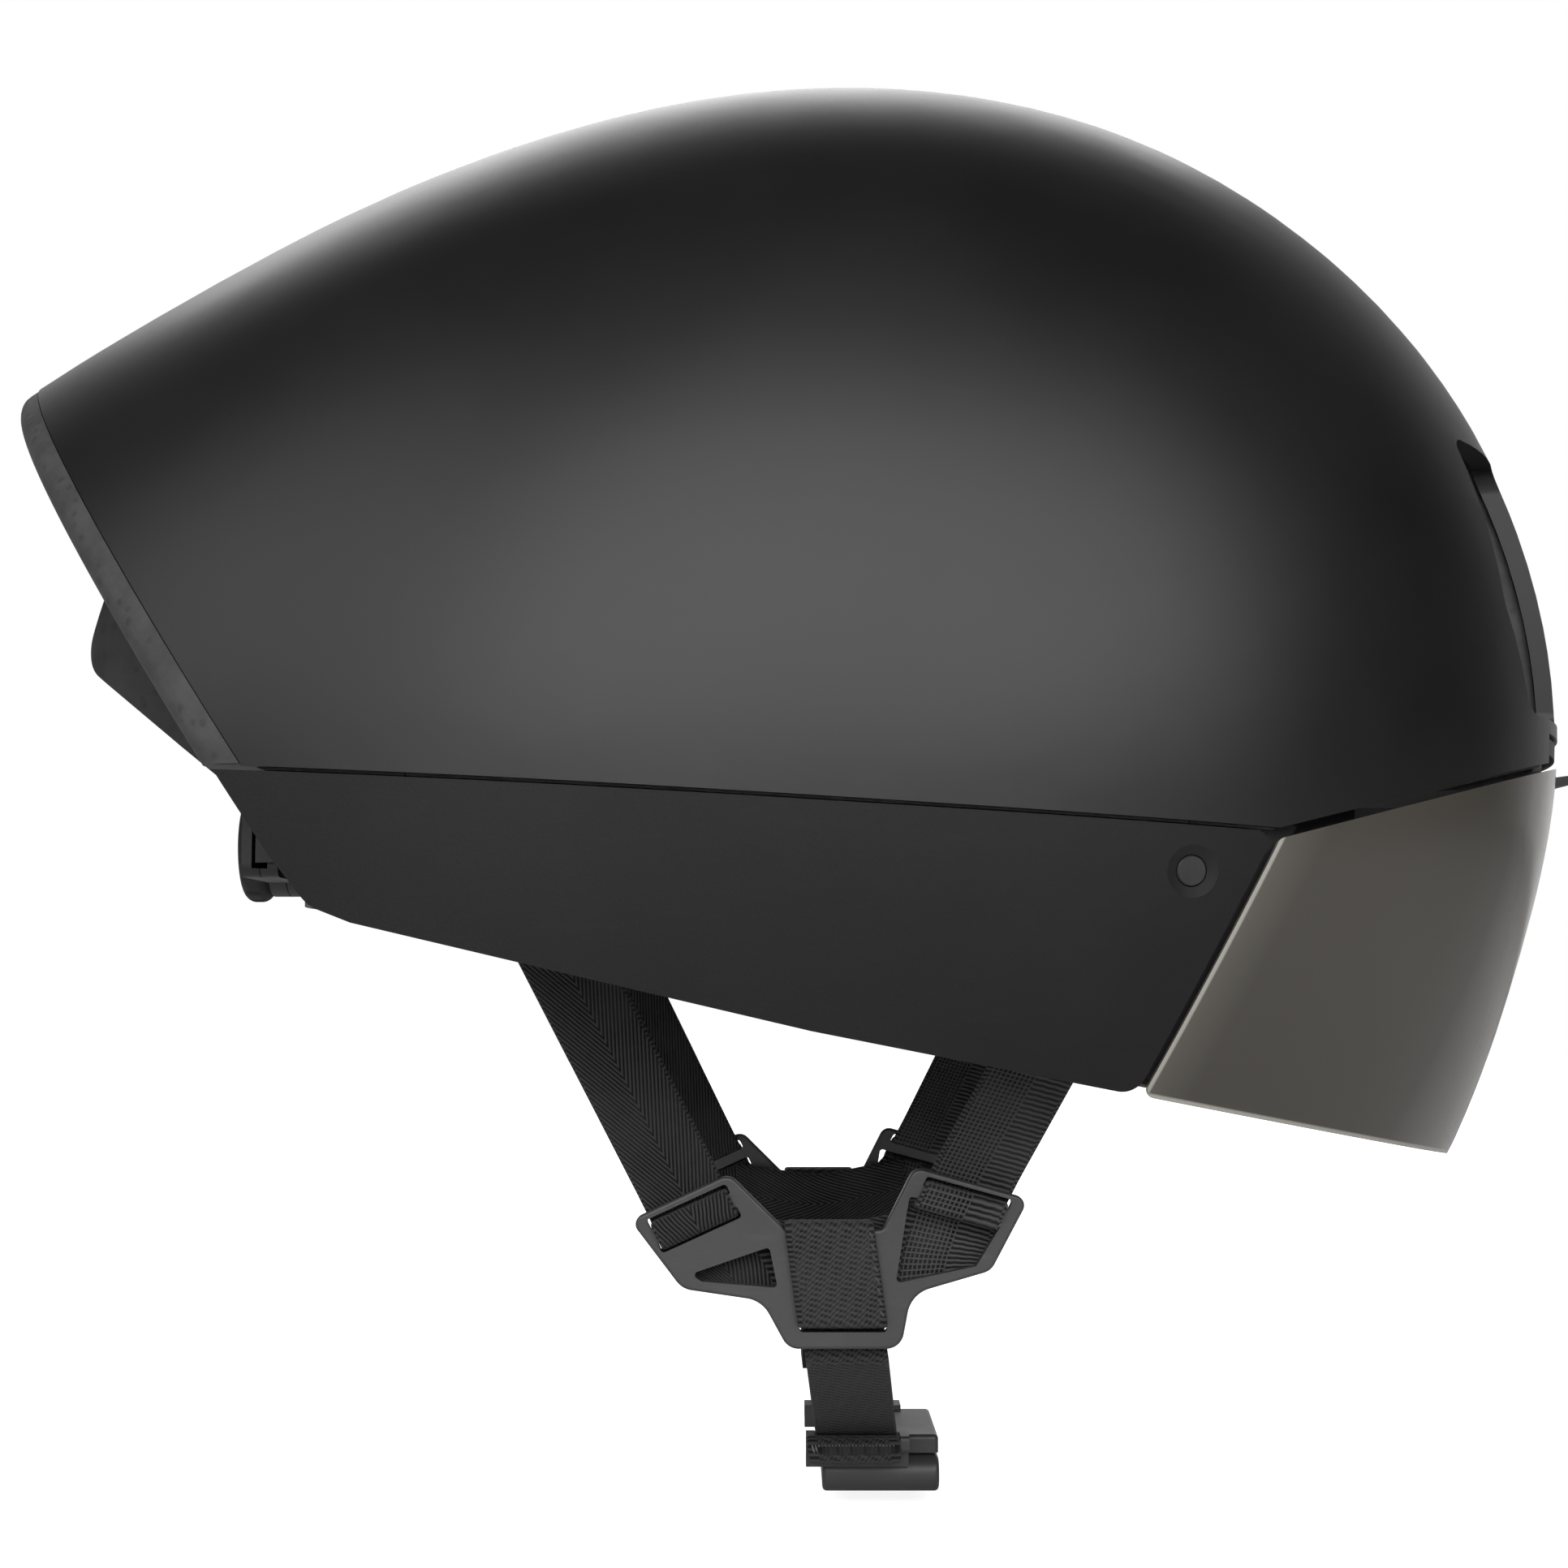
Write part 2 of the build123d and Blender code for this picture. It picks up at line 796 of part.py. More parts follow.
def tail_strip():
    """The strip behind the shell, rounded along its rear edge."""
    strip = dome(bond_line) & side_prism(tail_band(), -blade_reach, blade_reach)
    rear = strip.faces().filter_by(GeomType.PLANE).sort_by(Axis.X)[0]
    rim = [edge for edge in rear.edges() if edge.geom_type != GeomType.LINE]
    return strip.fillet(eps_band_r, rim)


def liner_body():
    """Outside of the liner, before the head opening and ducts are cut."""
    above = side_prism(shell_outline(seam_gap / 2), -blade_reach, blade_reach)
    floor = side_prism(liner_floor(), -blade_reach, blade_reach)
    band = side_prism(tail_band(), -blade_reach, blade_reach)
    front_x = rim_brow[0] - dock_half_width / 4
    brow = block((front_x, blade_reach), (-blade_reach, blade_reach), (-overrun, blade_reach))
    upper = dome(shell_wall + bond_line) & above & floor
    lower = (dome(panel_wall + bond_line) & floor) - above - brow - band
    front = (dome(brow_inset) & floor & brow) - above
    return upper + lower + front + (tail_strip() & floor)


@cache
def whole_liner():
    body = liner_body() + tail_block() - cavity(0) - exhaust_pocket()
    for tool in liner_ducts():
        body = body - tool - left_of(tool)
    dock_room = block((0, blade_reach), (-dock_half_width, dock_half_width), (-overrun, dock_notch_top))
    body = body - (dock_room - dome(dock_depth + bond_line)) - dial_relief()
    for tool in (rear_anchor(bond_line), front_anchor(bond_line), band_pin(bond_line)):
        body = body - tool - left_of(tool)
    return body


def liner_part(x_range, y_range):
    """One moulding of the liner, cut from the whole with half a glue line at its sides."""
    return whole_liner() & block(x_range, y_range, (-blade_reach, blade_reach))


def liner_front():
    """The right front moulding, round one vent duct."""
    return liner_part((liner_front_x + bond_line / 2, blade_reach), (-blade_reach, -bond_line / 2))


def liner_side():
    """The right side moulding, from the middle of the crown down to the rim."""
    return liner_part((liner_tail_x + bond_line / 2, liner_front_x - bond_line / 2),
                      (-blade_reach, -bond_line / 2))


def liner_tail():
    return liner_part((-blade_reach, liner_tail_x - bond_line / 2), (-blade_reach, blade_reach))


# Comfort pads

def pad(inset, thickness, region):
    """Piece of the lining between two insets of the head opening."""
    return (cavity(inset) & region) - cavity(inset + thickness)


def brow_pad():
    half = brow_pad_half_width
    outline = front_rect(-half, half, brow_pad_low_z, brow_pad_top_z)
    return pad(seat_gap, pad_thickness, front_prism(outline, cavity_x, blade_reach, pad_r * 3))


def crown_pad():
    half = crown_pad_width / 2
    outline = ((crown_pad_rear_x, -half), (crown_pad_front_x, -half),
               (crown_pad_front_x, half), (crown_pad_rear_x, half))
    return pad(seat_gap, pad_thickness, plan_prism(outline, cavity_z, blade_reach, pad_r * 3))


def side_pad():
    outline = ((side_pad_rear_x, side_pad_low_z), (side_pad_front_x, side_pad_low_z),
               (side_pad_front_x, side_pad_top_z), (side_pad_rear_x, side_pad_top_z))
    corners = tuple((point, pad_r * 3) for point in outline)
    return pad(seat_gap, pad_thickness, side_prism(outline, -blade_reach, 0, corners))


# Webbing

def thick_outline(path, thickness):
    """Closed outline of a path in two directions, with mitred corners."""
    half = thickness / 2
    left = []
    right = []
    for index, (s, t) in enumerate(path):
        before = path[max(index - 1, 0)]
        after = path[min(index + 1, len(path) - 1)]
        normals = []
        for start, end in ((before, (s, t)), ((s, t), after)):
            length = math.dist(start, end)
            if length > 0:
                normals.append(((start[1] - end[1]) / length, (end[0] - start[0]) / length))
        sum_s = sum(n[0] for n in normals)
        sum_t = sum(n[1] for n in normals)
        size = half / (sum_s * normals[0][0] + sum_t * normals[0][1])
        left.append((s + sum_s * size, t + sum_t * size))
        right.append((s - sum_s * size, t - sum_t * size))
    return left + right[::-1]


def web_solid(path, foot, down, across, span):
    """Flat webbing: the path runs down from a foot point and stands at a place in Y."""
    points = []
    for s, t in thick_outline(path, web_thickness):
        x = foot[0] + down[0] * s - across[0] * span / 2
        z = foot[1] + down[1] * s - across[1] * span / 2
        points.append(Vector(x, t, z))
    face = Face(Wire.make_polygon(points, close=True))
    return Solid.extrude(face, Vector(across[0] * span, 0, across[1] * span))


web_lift = yoke_thickness / 2 + seat_gap + web_thickness / 2
inner_y = -(yoke_y - web_lift)
outer_y = -(yoke_y + web_lift)
bar_pitch = slot_gap + middle_bar


def strap_seat(slot, strap_angle, top):
    """Plane square to a strap at its top end, with its normal pointing up the strap."""
    up = (cos(strap_angle), sin(strap_angle))
    run = (top[1] - slot[1]) / up[1]
    lean = (top[0] + inner_y) / (run - strap_straight)
    place = Vector(slot[0] + up[0] * run, -top[0], top[1])
    return Plane(origin=place, x_dir=Vector(up[1], 0, -up[0]), z_dir=Vector(up[0], -lean, up[1]))


def upper_strap(slot, slot_angle, strap_angle, top, end_run):
    """Strap from its anchor in the liner, through the yoke and round its bar."""
    down = (-cos(strap_angle), -sin(strap_angle))
    across = (cos(slot_angle), sin(slot_angle))
    span = web_width / sin(strap_angle - slot_angle)
    top_run = (slot[1] - top[1]) / sin(strap_angle)
    lean = (top[0] + inner_y) / (top_run + strap_straight)
    path = [
        (top_run - web_width, -top[0] + lean * web_width),
        (-strap_straight, inner_y),
        (0, inner_y),
        (0, outer_y),
        (bar_pitch, outer_y),
        (bar_pitch, inner_y),
        (bar_pitch + end_run, inner_y),
    ]
    seat = strap_seat(slot, strap_angle, top)
    above = box_on(seat.offset(web_width), 2 * anchor_width, 2 * anchor_width, 2 * web_width)
    return web_solid(path, slot, down, across, span) - above


def rear_strap():
    return upper_strap(rear_slot, rear_slot_angle, rear_strap_angle, rear_strap_top, rear_strap_end)


def front_strap():
    return upper_strap(front_slot, front_slot_angle, front_strap_angle, front_strap_top, front_strap_end)


def anchor(slot, strap_angle, top, grow):
    """Plug in the liner's rim that holds the end of a strap, or with a grow the room for it."""
    seat = strap_seat(slot, strap_angle, top).offset(anchor_show)
    if grow > 0:
        middle = seat.offset(grow - overrun / 2)
        return box_on(middle, anchor_width + 2 * grow, anchor_thickness + 2 * grow, overrun)
    body = box_on(seat.offset(-anchor_height / 2), anchor_width, anchor_thickness, anchor_height)
    mouth = box_on(seat.offset(seat_gap - anchor_show - anchor_height / 2),
                   web_width + 4 * seat_gap, web_thickness + 4 * seat_gap, anchor_height)
    return body - mouth


def rear_anchor(grow=0.0):
    return anchor(rear_slot, rear_strap_angle, rear_strap_top, grow)


def front_anchor(grow=0.0):
    return anchor(front_slot, front_strap_angle, front_strap_top, grow)


def yoke_place(share_x, share_z):
    return yoke_rear_x + share_x * yoke_width, yoke_top_z - share_z * yoke_height


def slot_outline(slot, slot_angle, strap_angle, run):
    """Slot for webbing, a run down the strap from the first slot's middle."""
    down = (-cos(strap_angle), -sin(strap_angle))
    reach = web_width / sin(strap_angle - slot_angle) / 2 + slot_margin
    outline = []
    for side, step in ((-1, -1), (1, -1), (1, 1), (-1, 1)):
        along = side * reach
        low = run + step * slot_gap / 2
        outline.append((slot[0] + along * cos(slot_angle) + down[0] * low,
                        slot[1] + along * sin(slot_angle) + down[1] * low))
    return outline


bridge_top_z = yoke_top_z - yoke_outline_shares[2][1] * yoke_height
chin_slot_z = yoke_top_z - yoke_height + bottom_bar


def chin_x(z):
    """Middle of the chin webbing at a height."""
    return chin_top_x + chin_drift * (bridge_top_z - z)


def centre_window():
    top_z = bridge_top_z - bridge_bar
    reach = web_width / 2 + slot_margin
    return ((chin_x(top_z) - reach, top_z), (chin_x(top_z) + reach, top_z),
            (chin_x(chin_slot_z) + reach, chin_slot_z), (chin_x(chin_slot_z) - reach, chin_slot_z))


def strap_yoke():
    """Flat divider below the ear, where front and rear straps meet."""
    near = -yoke_y - yoke_thickness / 2
    far = -yoke_y + yoke_thickness / 2
    outline = [yoke_place(x, z) for x, z, _ in yoke_outline_shares]
    corners = [(point, shares[2] * yoke_height) for point, shares in zip(outline, yoke_outline_shares)]
    plate = side_prism(outline, near, far, corners)
    faces = plate.faces().filter_by(Axis.Y)
    plate = plate.fillet(yoke_edge_r, faces[0].edges() + faces[-1].edges())
    openings = [
        slot_outline(rear_slot, rear_slot_angle, rear_strap_angle, 0),
        slot_outline(rear_slot, rear_slot_angle, rear_strap_angle, bar_pitch),
        slot_outline(front_slot, front_slot_angle, front_strap_angle, 0),
        [yoke_place(x, z) for x, z in front_window_shares],
        [yoke_place(x, z) for x, z in corner_window_shares],
        centre_window(),
    ]
    for opening in openings:
        rounds = [(point, window_r) for point in opening]
        plate = plate - side_prism(opening, near - seat_gap, far + seat_gap, rounds)
    return plate


wrap_r = chin_bar_r + wrap_gap + web_thickness / 2
ply_pitch = web_thickness + seat_gap


def chin_path(tail, close_to):
    """Chin strap seen along X: over the yoke's bridge, out below it and round the buckle's bar."""
    fold_z = bridge_top_z + seat_gap + web_thickness / 2
    leave_z = chin_slot_z - bottom_bar - chin_straight
    cross_z = chin_slot_z + seat_gap + web_thickness / 2 + slot_margin
    run_y = -chin_bar_y - inner_y
    run_z = chin_bar_z - leave_z
    lean = math.degrees(math.atan2(run_z, run_y) + math.asin(wrap_r / math.hypot(run_y, run_z)))
    ahead = (cos(lean), sin(lean))
    beside = (-sin(lean), cos(lean))
    path = [
        (bridge_top_z - chin_inner_ply, inner_y),
        (fold_z, inner_y),
        (fold_z, outer_y),
        (cross_z, outer_y),
        (cross_z, inner_y),
        (leave_z, inner_y),
    ]
    for angle in range(0, 180 + wrap_step, wrap_step):
        out = wrap_r * cos(angle)
        on = wrap_r * sin(angle)
        path.append((chin_bar_z + beside[1] * out + ahead[1] * on,
                     -chin_bar_y + beside[0] * out + ahead[0] * on))
    if tail > tail_near:
        path.append((chin_bar_z + beside[1] * (wrap_r - close_to) - ahead[1] * tail_near,
                     -chin_bar_y + beside[0] * (wrap_r - close_to) - ahead[0] * tail_near))
    path.append((chin_bar_z + beside[1] * (wrap_r - close_to) - ahead[1] * tail,
                 -chin_bar_y + beside[0] * (wrap_r - close_to) - ahead[0] * tail))
    return path, ahead, beside


def chin_strap(tail, close_to):
    path, _, _ = chin_path(tail, close_to)
    runs = [(bridge_top_z - z, y) for z, y in path]
    scale_down = math.hypot(1, chin_drift)
    runs = [(run * scale_down, y) for run, y in runs]
    down = (chin_drift / scale_down, -1 / scale_down)
    return web_solid(runs, (chin_top_x, bridge_top_z), down, (1, 0), web_width)


def strap_tail_keeper():
    """Loop that holds the loose end against the left chin strap, drawn on the right."""
    _, ahead, beside = chin_path(tail_length, ply_pitch)
    out = wrap_r - ply_pitch / 2
    y = -chin_bar_y + beside[0] * out - ahead[0] * keeper_from_bar
    z = chin_bar_z + beside[1] * out - ahead[1] * keeper_from_bar
    along = Vector(-chin_drift * ahead[1], ahead[0], ahead[1])
    seat = Plane(origin=(chin_x(z), y, z), x_dir=(1, 0, 0), z_dir=along)
    inner_width = web_width + 2 * seat_gap
    inner_depth = ply_pitch + web_thickness + 2 * seat_gap
    outer = box_on(seat, inner_width + 2 * keeper_wall, inner_depth + 2 * keeper_wall, keeper_length)
    return outer - box_on(seat, inner_width, inner_depth, 2 * keeper_length)


# Buckle

buckle_top_z = buckle_low_z + buckle_height
slot_floor_z = buckle_top_z - rail_neck - rail_height - 2 * seat_gap
loop_cross_y = chin_bar_y - wrap_r - web_thickness / 2 - seat_gap
slider_low_z = buckle_top_z + seat_gap
buckle_rear_x = buckle_x - buckle_width / 2
buckle_front_x = buckle_x + buckle_width / 2


def webbing_loop(low_z):
    """Bar, cheeks and cross piece of the right loop, standing on a body at a height."""
    reach = web_width / 2 + loop_margin
    middle = chin_x(chin_bar_z)
    rear = (middle - reach - loop_cheek, middle - reach)
    front = (middle + reach, middle + reach + loop_cheek)
    half = loop_height / 2
    z_range = (chin_bar_z - half, chin_bar_z + half)
    y_range = (-chin_bar_y - half, -loop_cross_y + loop_back)
    bar = rod_x(rear[0], front[1], -chin_bar_y, chin_bar_z, chin_bar_r)
    cross = block((rear[0], front[1]), (-loop_cross_y, -loop_cross_y + loop_back), (low_z, z_range[1]))
    cross = cross.fillet(half / 2, cross.faces().sort_by(Axis.Z)[-1].edges())
    cheeks = [block(x_range, y_range, z_range) for x_range in (rear, front)]
    cheeks = [cheek.fillet(half / 2, cheek.edges().filter_by(Axis.X).sort_by(Axis.Y)[:2]) for cheek in cheeks]
    return bar + cheeks[0] + cheeks[1] + cross


def buckle_base():
    """Lower half of the buckle, with a channel open toward the front."""
    half = buckle_length / 2
    body = block((buckle_rear_x, buckle_front_x), (-half, half), (buckle_low_z, buckle_top_z))
    body = body.fillet(buckle_height / 2 - buckle_round / 4, body.edges().filter_by(Axis.X))
    body = body.fillet(buckle_round, body.faces().filter_by(Axis.X).edges())
    body = body + webbing_loop(buckle_top_z - buckle_height / 4)
    start = buckle_rear_x + rail_stop
    stem = block((start, start + overrun), (-rail_stem / 2 - seat_gap, rail_stem / 2 + seat_gap),
                 (slot_floor_z, buckle_top_z + seat_gap))
    head = block((start, start + overrun), (-rail_head / 2 - seat_gap, rail_head / 2 + seat_gap),
                 (slot_floor_z, buckle_top_z - rail_neck))
    return body - stem - head - base_magnet(bond_line)


def base_magnet(grow=0.0):
    low = (buckle_low_z + slot_floor_z - buckle_magnet_length) / 2 - grow
    seat = Plane(origin=(buckle_x, 0, low))
    return Solid.make_cylinder(buckle_magnet_r + grow, buckle_magnet_length + 2 * grow, seat)


def buckle_slider():
    """Upper half, drawn on the left side, with the rail that runs in the channel."""
    half = buckle_length / 2
    near = -loop_cross_y + loop_back + running_gap
    z_range = (slider_low_z, slider_low_z + slider_thickness)
    plate = block((buckle_rear_x, buckle_front_x), (near, half), z_range)
    top_edges = plate.faces().sort_by(Axis.Z)[-1].edges()
    plate = plate.fillet(buckle_round, plate.edges().filter_by(Axis.Z) + top_edges)
    loop = left_of(webbing_loop(slider_low_z))
    start = buckle_rear_x + rail_stop + seat_gap
    end = buckle_front_x - seat_gap
    head_top = buckle_top_z - rail_neck - seat_gap
    stem = block((start, end), (-rail_stem / 2, rail_stem / 2), (head_top - rail_height, slider_low_z))
    head = block((start, end), (-rail_head / 2, rail_head / 2), (head_top - rail_height, head_top))
    return plate + loop + stem + head - slider_magnet(bond_line)


def slider_magnet(grow=0.0):
    low = slider_low_z + (slider_thickness - buckle_magnet_length) / 2 - grow
    seat = Plane(origin=(buckle_x, 0, low))
    return Solid.make_cylinder(buckle_magnet_r + grow, buckle_magnet_length + 2 * grow, seat)


# Rear fit system

housing_rear_x = dial_x + dial_length + dial_gap
housing_front_x = housing_rear_x + housing_length
housing_mid_x = (housing_rear_x + housing_front_x) / 2
tooth_pitch = 2 * math.pi * pinion_pitch_r / pinion_teeth


def dial_knob():
    hub_r = dial_r - grip_wall - shaft_gap
    knob = rod_x(dial_x, dial_x + dial_length, 0, dial_z, hub_r)
    dish = rod_x(dial_x - knob_dish, dial_x + knob_dish, 0, dial_z, hub_r - grip_wall)
    bore = rod_x(dial_x + dial_length / 2, dial_x + 2 * dial_length, 0, dial_z, shaft_r + shaft_gap)
    return knob.chamfer(shaft_r / 4, None, knob.edges().sort_by(Axis.X)[:1]) - dish - bore


def dial_grip():
    ring = rod_x(dial_x, dial_x + dial_length, 0, dial_z, dial_r)
    ring = ring.fillet(grip_round, ring.edges().filter_by(GeomType.CIRCLE))
    ring = ring - rod_x(dial_x - dial_length, dial_x + 2 * dial_length, 0, dial_z, dial_r - grip_wall)
    for index in range(grip_notches):
        turn = 360 * index / grip_notches
        reach = dial_r + grip_notch_r / 2
        ring = ring - rod_x(dial_x - dial_length, dial_x + 2 * dial_length,
                            reach * cos(turn), dial_z + reach * sin(turn), grip_notch_r)
    return ring


def dial_pinion():
    """Shaft and small gear that draws in the two racks."""
    shaft = rod_x(dial_x + dial_length / 2 + seat_gap, housing_front_x - housing_wall / 2, 0, dial_z, shaft_r)
    half = rack_thickness / 2
    root_r = pinion_pitch_r - tooth_height / 2 - tooth_gap
    gear = rod_x(housing_mid_x - half, housing_mid_x + half, 0, dial_z, root_r)
    tooth = block((housing_mid_x - half, housing_mid_x + half), (-tooth_width / 2, tooth_width / 2),
                  (0, pinion_pitch_r + tooth_height / 2))
    for index in range(pinion_teeth):
        turned = tooth.rotate(Axis.X, 360 * index / pinion_teeth)
        gear = gear + turned.moved(Location((0, 0, dial_z)))
    return shaft + gear


def rack():
    """Toothed end of the right headband, above the pinion."""
    half = rack_thickness / 2
    outer_y_end = -housing_half_width
    root_z = dial_z + pinion_pitch_r + tooth_height / 2 + tooth_gap
    strip = block((housing_mid_x - half, housing_mid_x + half), (outer_y_end, rack_inner_end),
                  (root_z, root_z + rack_back))
    first = math.ceil(outer_y_end / tooth_pitch)
    last = math.floor(rack_inner_end / tooth_pitch)
    for index in range(first, last):
        middle = (index + 1 / 2) * tooth_pitch
        tooth = block((housing_mid_x - half, housing_mid_x + half),
                      (middle - tooth_width / 2, middle + tooth_width / 2),
                      (root_z - tooth_height - tooth_gap, root_z + rack_back / 2))
        strip = strip + tooth
    return strip


def other_rack():
    """The left headband's rack: the right one turned half round the dial's axis."""
    return rack().rotate(Axis((0, 0, dial_z), (1, 0, 0)), 180)


def housing_half(x_start, x_end):
    half_height = housing_height / 2
    outline = ((-housing_half_width, dial_z - half_height), (housing_half_width, dial_z - half_height),
               (housing_half_width, dial_z + half_height), (-housing_half_width, dial_z + half_height))
    body = front_prism(outline, x_start, x_end, half_height / 3)
    body = body + rod_x(x_start, x_end, 0, dial_z, housing_boss_r)
    depth = rack_thickness / 2 + seat_gap
    channel = block((housing_mid_x - depth, housing_mid_x + depth), (-blade_reach, blade_reach),
                    (dial_z - half_height + housing_wall, dial_z + half_height - housing_wall))
    return body - channel - rod_x(x_start - overrun, housing_front_x - housing_wall / 2 + seat_gap,
                                  0, dial_z, shaft_r + shaft_gap)


def dial_cover():
    return housing_half(housing_rear_x, housing_mid_x - shaft_gap)


def dial_housing():
    return housing_half(housing_mid_x + shaft_gap, housing_front_x)


def height_strap_x():
    return cavity_x - cavity_half_length + height_strap_inset


def cradle_frame():
    """Curved plate behind the head, with a stud for the height strap."""
    region = front_prism(front_rect(-frame_half_width, frame_half_width, frame_low_z, frame_top_z),
                         -blade_reach, cavity_x, frame_r)
    plate = pad(frame_inset, frame_wall, region)
    back_x = cavity_x - cavity_half_length + frame_inset + frame_wall / 2
    return plate + rod_x(back_x, height_strap_x() + height_strap_wall, 0, dial_z, stud_r)


def cradle_pad():
    half_width = cradle_pad_width / 2
    half_height = cradle_pad_height / 2
    region = front_prism(front_rect(-cradle_pad_y - half_width, -cradle_pad_y + half_width,
                                    dial_z - half_height, dial_z + half_height),
                         -blade_reach, cavity_x, pad_r * 2)
    return pad(frame_inset + frame_wall + seat_gap, cradle_pad_thickness, region)


def height_strap():
    half = height_strap_width / 2
    x = height_strap_x()
    blade = front_prism(front_rect(-half, half, height_strap_low_z, height_strap_top_z),
                        x, x + height_strap_wall, half / 2)
    return blade - rod_x(x - overrun, x + overrun, 0, dial_z, stud_r + stud_gap)


def height_guide():
    """Guide on the liner's rear wall that the height strap slides in."""
    half = height_strap_width / 2
    x = height_strap_x()
    z_range = (guide_low_z, guide_low_z + guide_height)
    body = block((x - overrun, x + height_strap_wall + running_gap + guide_wall),
                 (-half - running_gap - guide_wall, half + running_gap + guide_wall), z_range)
    body = body & cavity(bond_line)
    slot = block((x - running_gap, x + height_strap_wall + running_gap),
                 (-half - running_gap, half + running_gap),
                 (guide_low_z - overrun, guide_low_z + overrun))
    return body - slot


def band_oval(inset, x):
    """Place and outward direction on the right wall of the head opening."""
    long = cavity_half_length - inset
    wide = cavity_half_width - inset
    y = -wide * math.sqrt(1 - ((x - cavity_x) / long) ** 2)
    return Vector(x, y, 0), Vector((x - cavity_x) / long ** 2, y / wide ** 2, 0).normalized()


def band_pin(grow=0.0):
    """Pin with a flat head that fixes the front of the headband to the liner."""
    place, outward = band_oval(band_inset + band_wall, band_front_x - band_pin_back)
    place = place + Vector(0, 0, dial_z)
    start = place - outward * (seat_gap + grow)
    length = seat_gap + band_wall + band_inset + band_pin_bite
    shank = Solid.make_cylinder(band_pin_r + grow, length + 2 * grow, Plane(origin=start, z_dir=outward))
    if grow > 0:
        return shank
    flat = Plane(origin=start - outward * band_wall, z_dir=outward)
    head = Solid.make_cylinder(2 * band_pin_r, band_wall, flat)
    return shank + head


def headband():
    """Thin strip along the right of the head, from its pin to the dial housing."""
    stations = 9
    front = math.acos((band_front_x - cavity_x) / cavity_half_length)
    rear = math.acos((band_release_x - cavity_x) / cavity_half_length)
    faces = []
    for inset in (band_inset, band_inset + band_wall):
        points = []
        for index in range(stations):
            turn = front + (rear - front) * index / (stations - 1)
            place, _ = band_oval(inset, cavity_x + cavity_half_length * math.cos(turn))
            points.append(place)
        points.append(Vector(housing_mid_x - band_wall / 2 + inset - band_inset,
                             -housing_half_width - 2 * seat_gap, 0))
        faces.append(points)
    outer = Edge.make_spline(faces[0])
    inner = Edge.make_spline(faces[1][::-1])
    ends = [Edge.make_line(faces[0][-1], faces[1][-1]), Edge.make_line(faces[1][0], faces[0][0])]
    flat = Face(Wire([outer, ends[0], inner, ends[1]]))
    strip = Solid.extrude(flat.moved(Location((0, 0, dial_z - band_height / 2))), Vector(0, 0, band_height))
    return strip - band_pin(seat_gap)


def dial_relief():
    """Room that the dial and its boss need below the tail of the liner."""
    reach = dial_r + relief_clearance
    return block((dial_x - relief_clearance, cavity_x - cavity_half_length + frame_inset + frame_wall),
                 (-reach, reach), (-overrun, dial_z + reach))


def build():
    os.makedirs("parts", exist_ok=True)
    panel = side_panel()
    button = panel_button()
    write("outer_shell", outer_shell())
    write("liner_tail", liner_tail())
    write("side_panel_right", panel)
    write("side_panel_left", left_of(panel))
    write("panel_magnet_right", button)
    write("panel_magnet_left", left_of(button))
    write("visor_lens", visor_lens())
    write("visor_grip_tab", visor_grip())
    write("visor_magnet_cups", *visor_cups())
    write("visor_magnets", *visor_magnets())
    write("brow_dock", brow_dock())
    write("dock_magnets", *dock_magnets())
    pairs = {
        "liner_front": liner_front(),
        "liner_side": liner_side(),
        "temple_dock": temple_dock(),
        "side_pad": side_pad(),
        "rear_strap": rear_strap(),
        "front_strap": front_strap(),
        "strap_yoke": strap_yoke(),
        "headband": headband(),
    }
    for name, piece in pairs.items():
        write(name + "_right", piece)
        write(name + "_left", left_of(piece))
    write("brow_pad", brow_pad())
    write("crown_pad", crown_pad())
    write("rear_strap_anchors", rear_anchor(), left_of(rear_anchor()))
    write("front_strap_anchors", front_anchor(), left_of(front_anchor()))
    write("chin_strap_right", chin_strap(sewn_length, 2 * wrap_r))
    write("chin_strap_left", left_of(chin_strap(tail_length, ply_pitch)))
    write("tail_keeper", left_of(strap_tail_keeper()))
    write("buckle_base", buckle_base())
    write("buckle_base_magnet", base_magnet())
    write("buckle_slider", buckle_slider())
    write("buckle_slider_magnet", slider_magnet())
    write("headband_pins", band_pin(), left_of(band_pin()))
    write("dial_knob", dial_knob())
    write("dial_grip", dial_grip())
    write("dial_pinion", dial_pinion())
    write("rack_right", rack())
    write("rack_left", other_rack())
    write("dial_cover", dial_cover())
    write("dial_housing", dial_housing())
    write("cradle_frame", cradle_frame())
    write("cradle_pads", cradle_pad(), left_of(cradle_pad()))
    write("height_strap", height_strap())
    write("height_guide", height_guide())


if __name__ == "__main__":
    build()
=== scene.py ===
import json
import math

import bmesh
import bpy
import numpy as np
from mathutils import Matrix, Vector
from mathutils.bvhtree import BVHTree


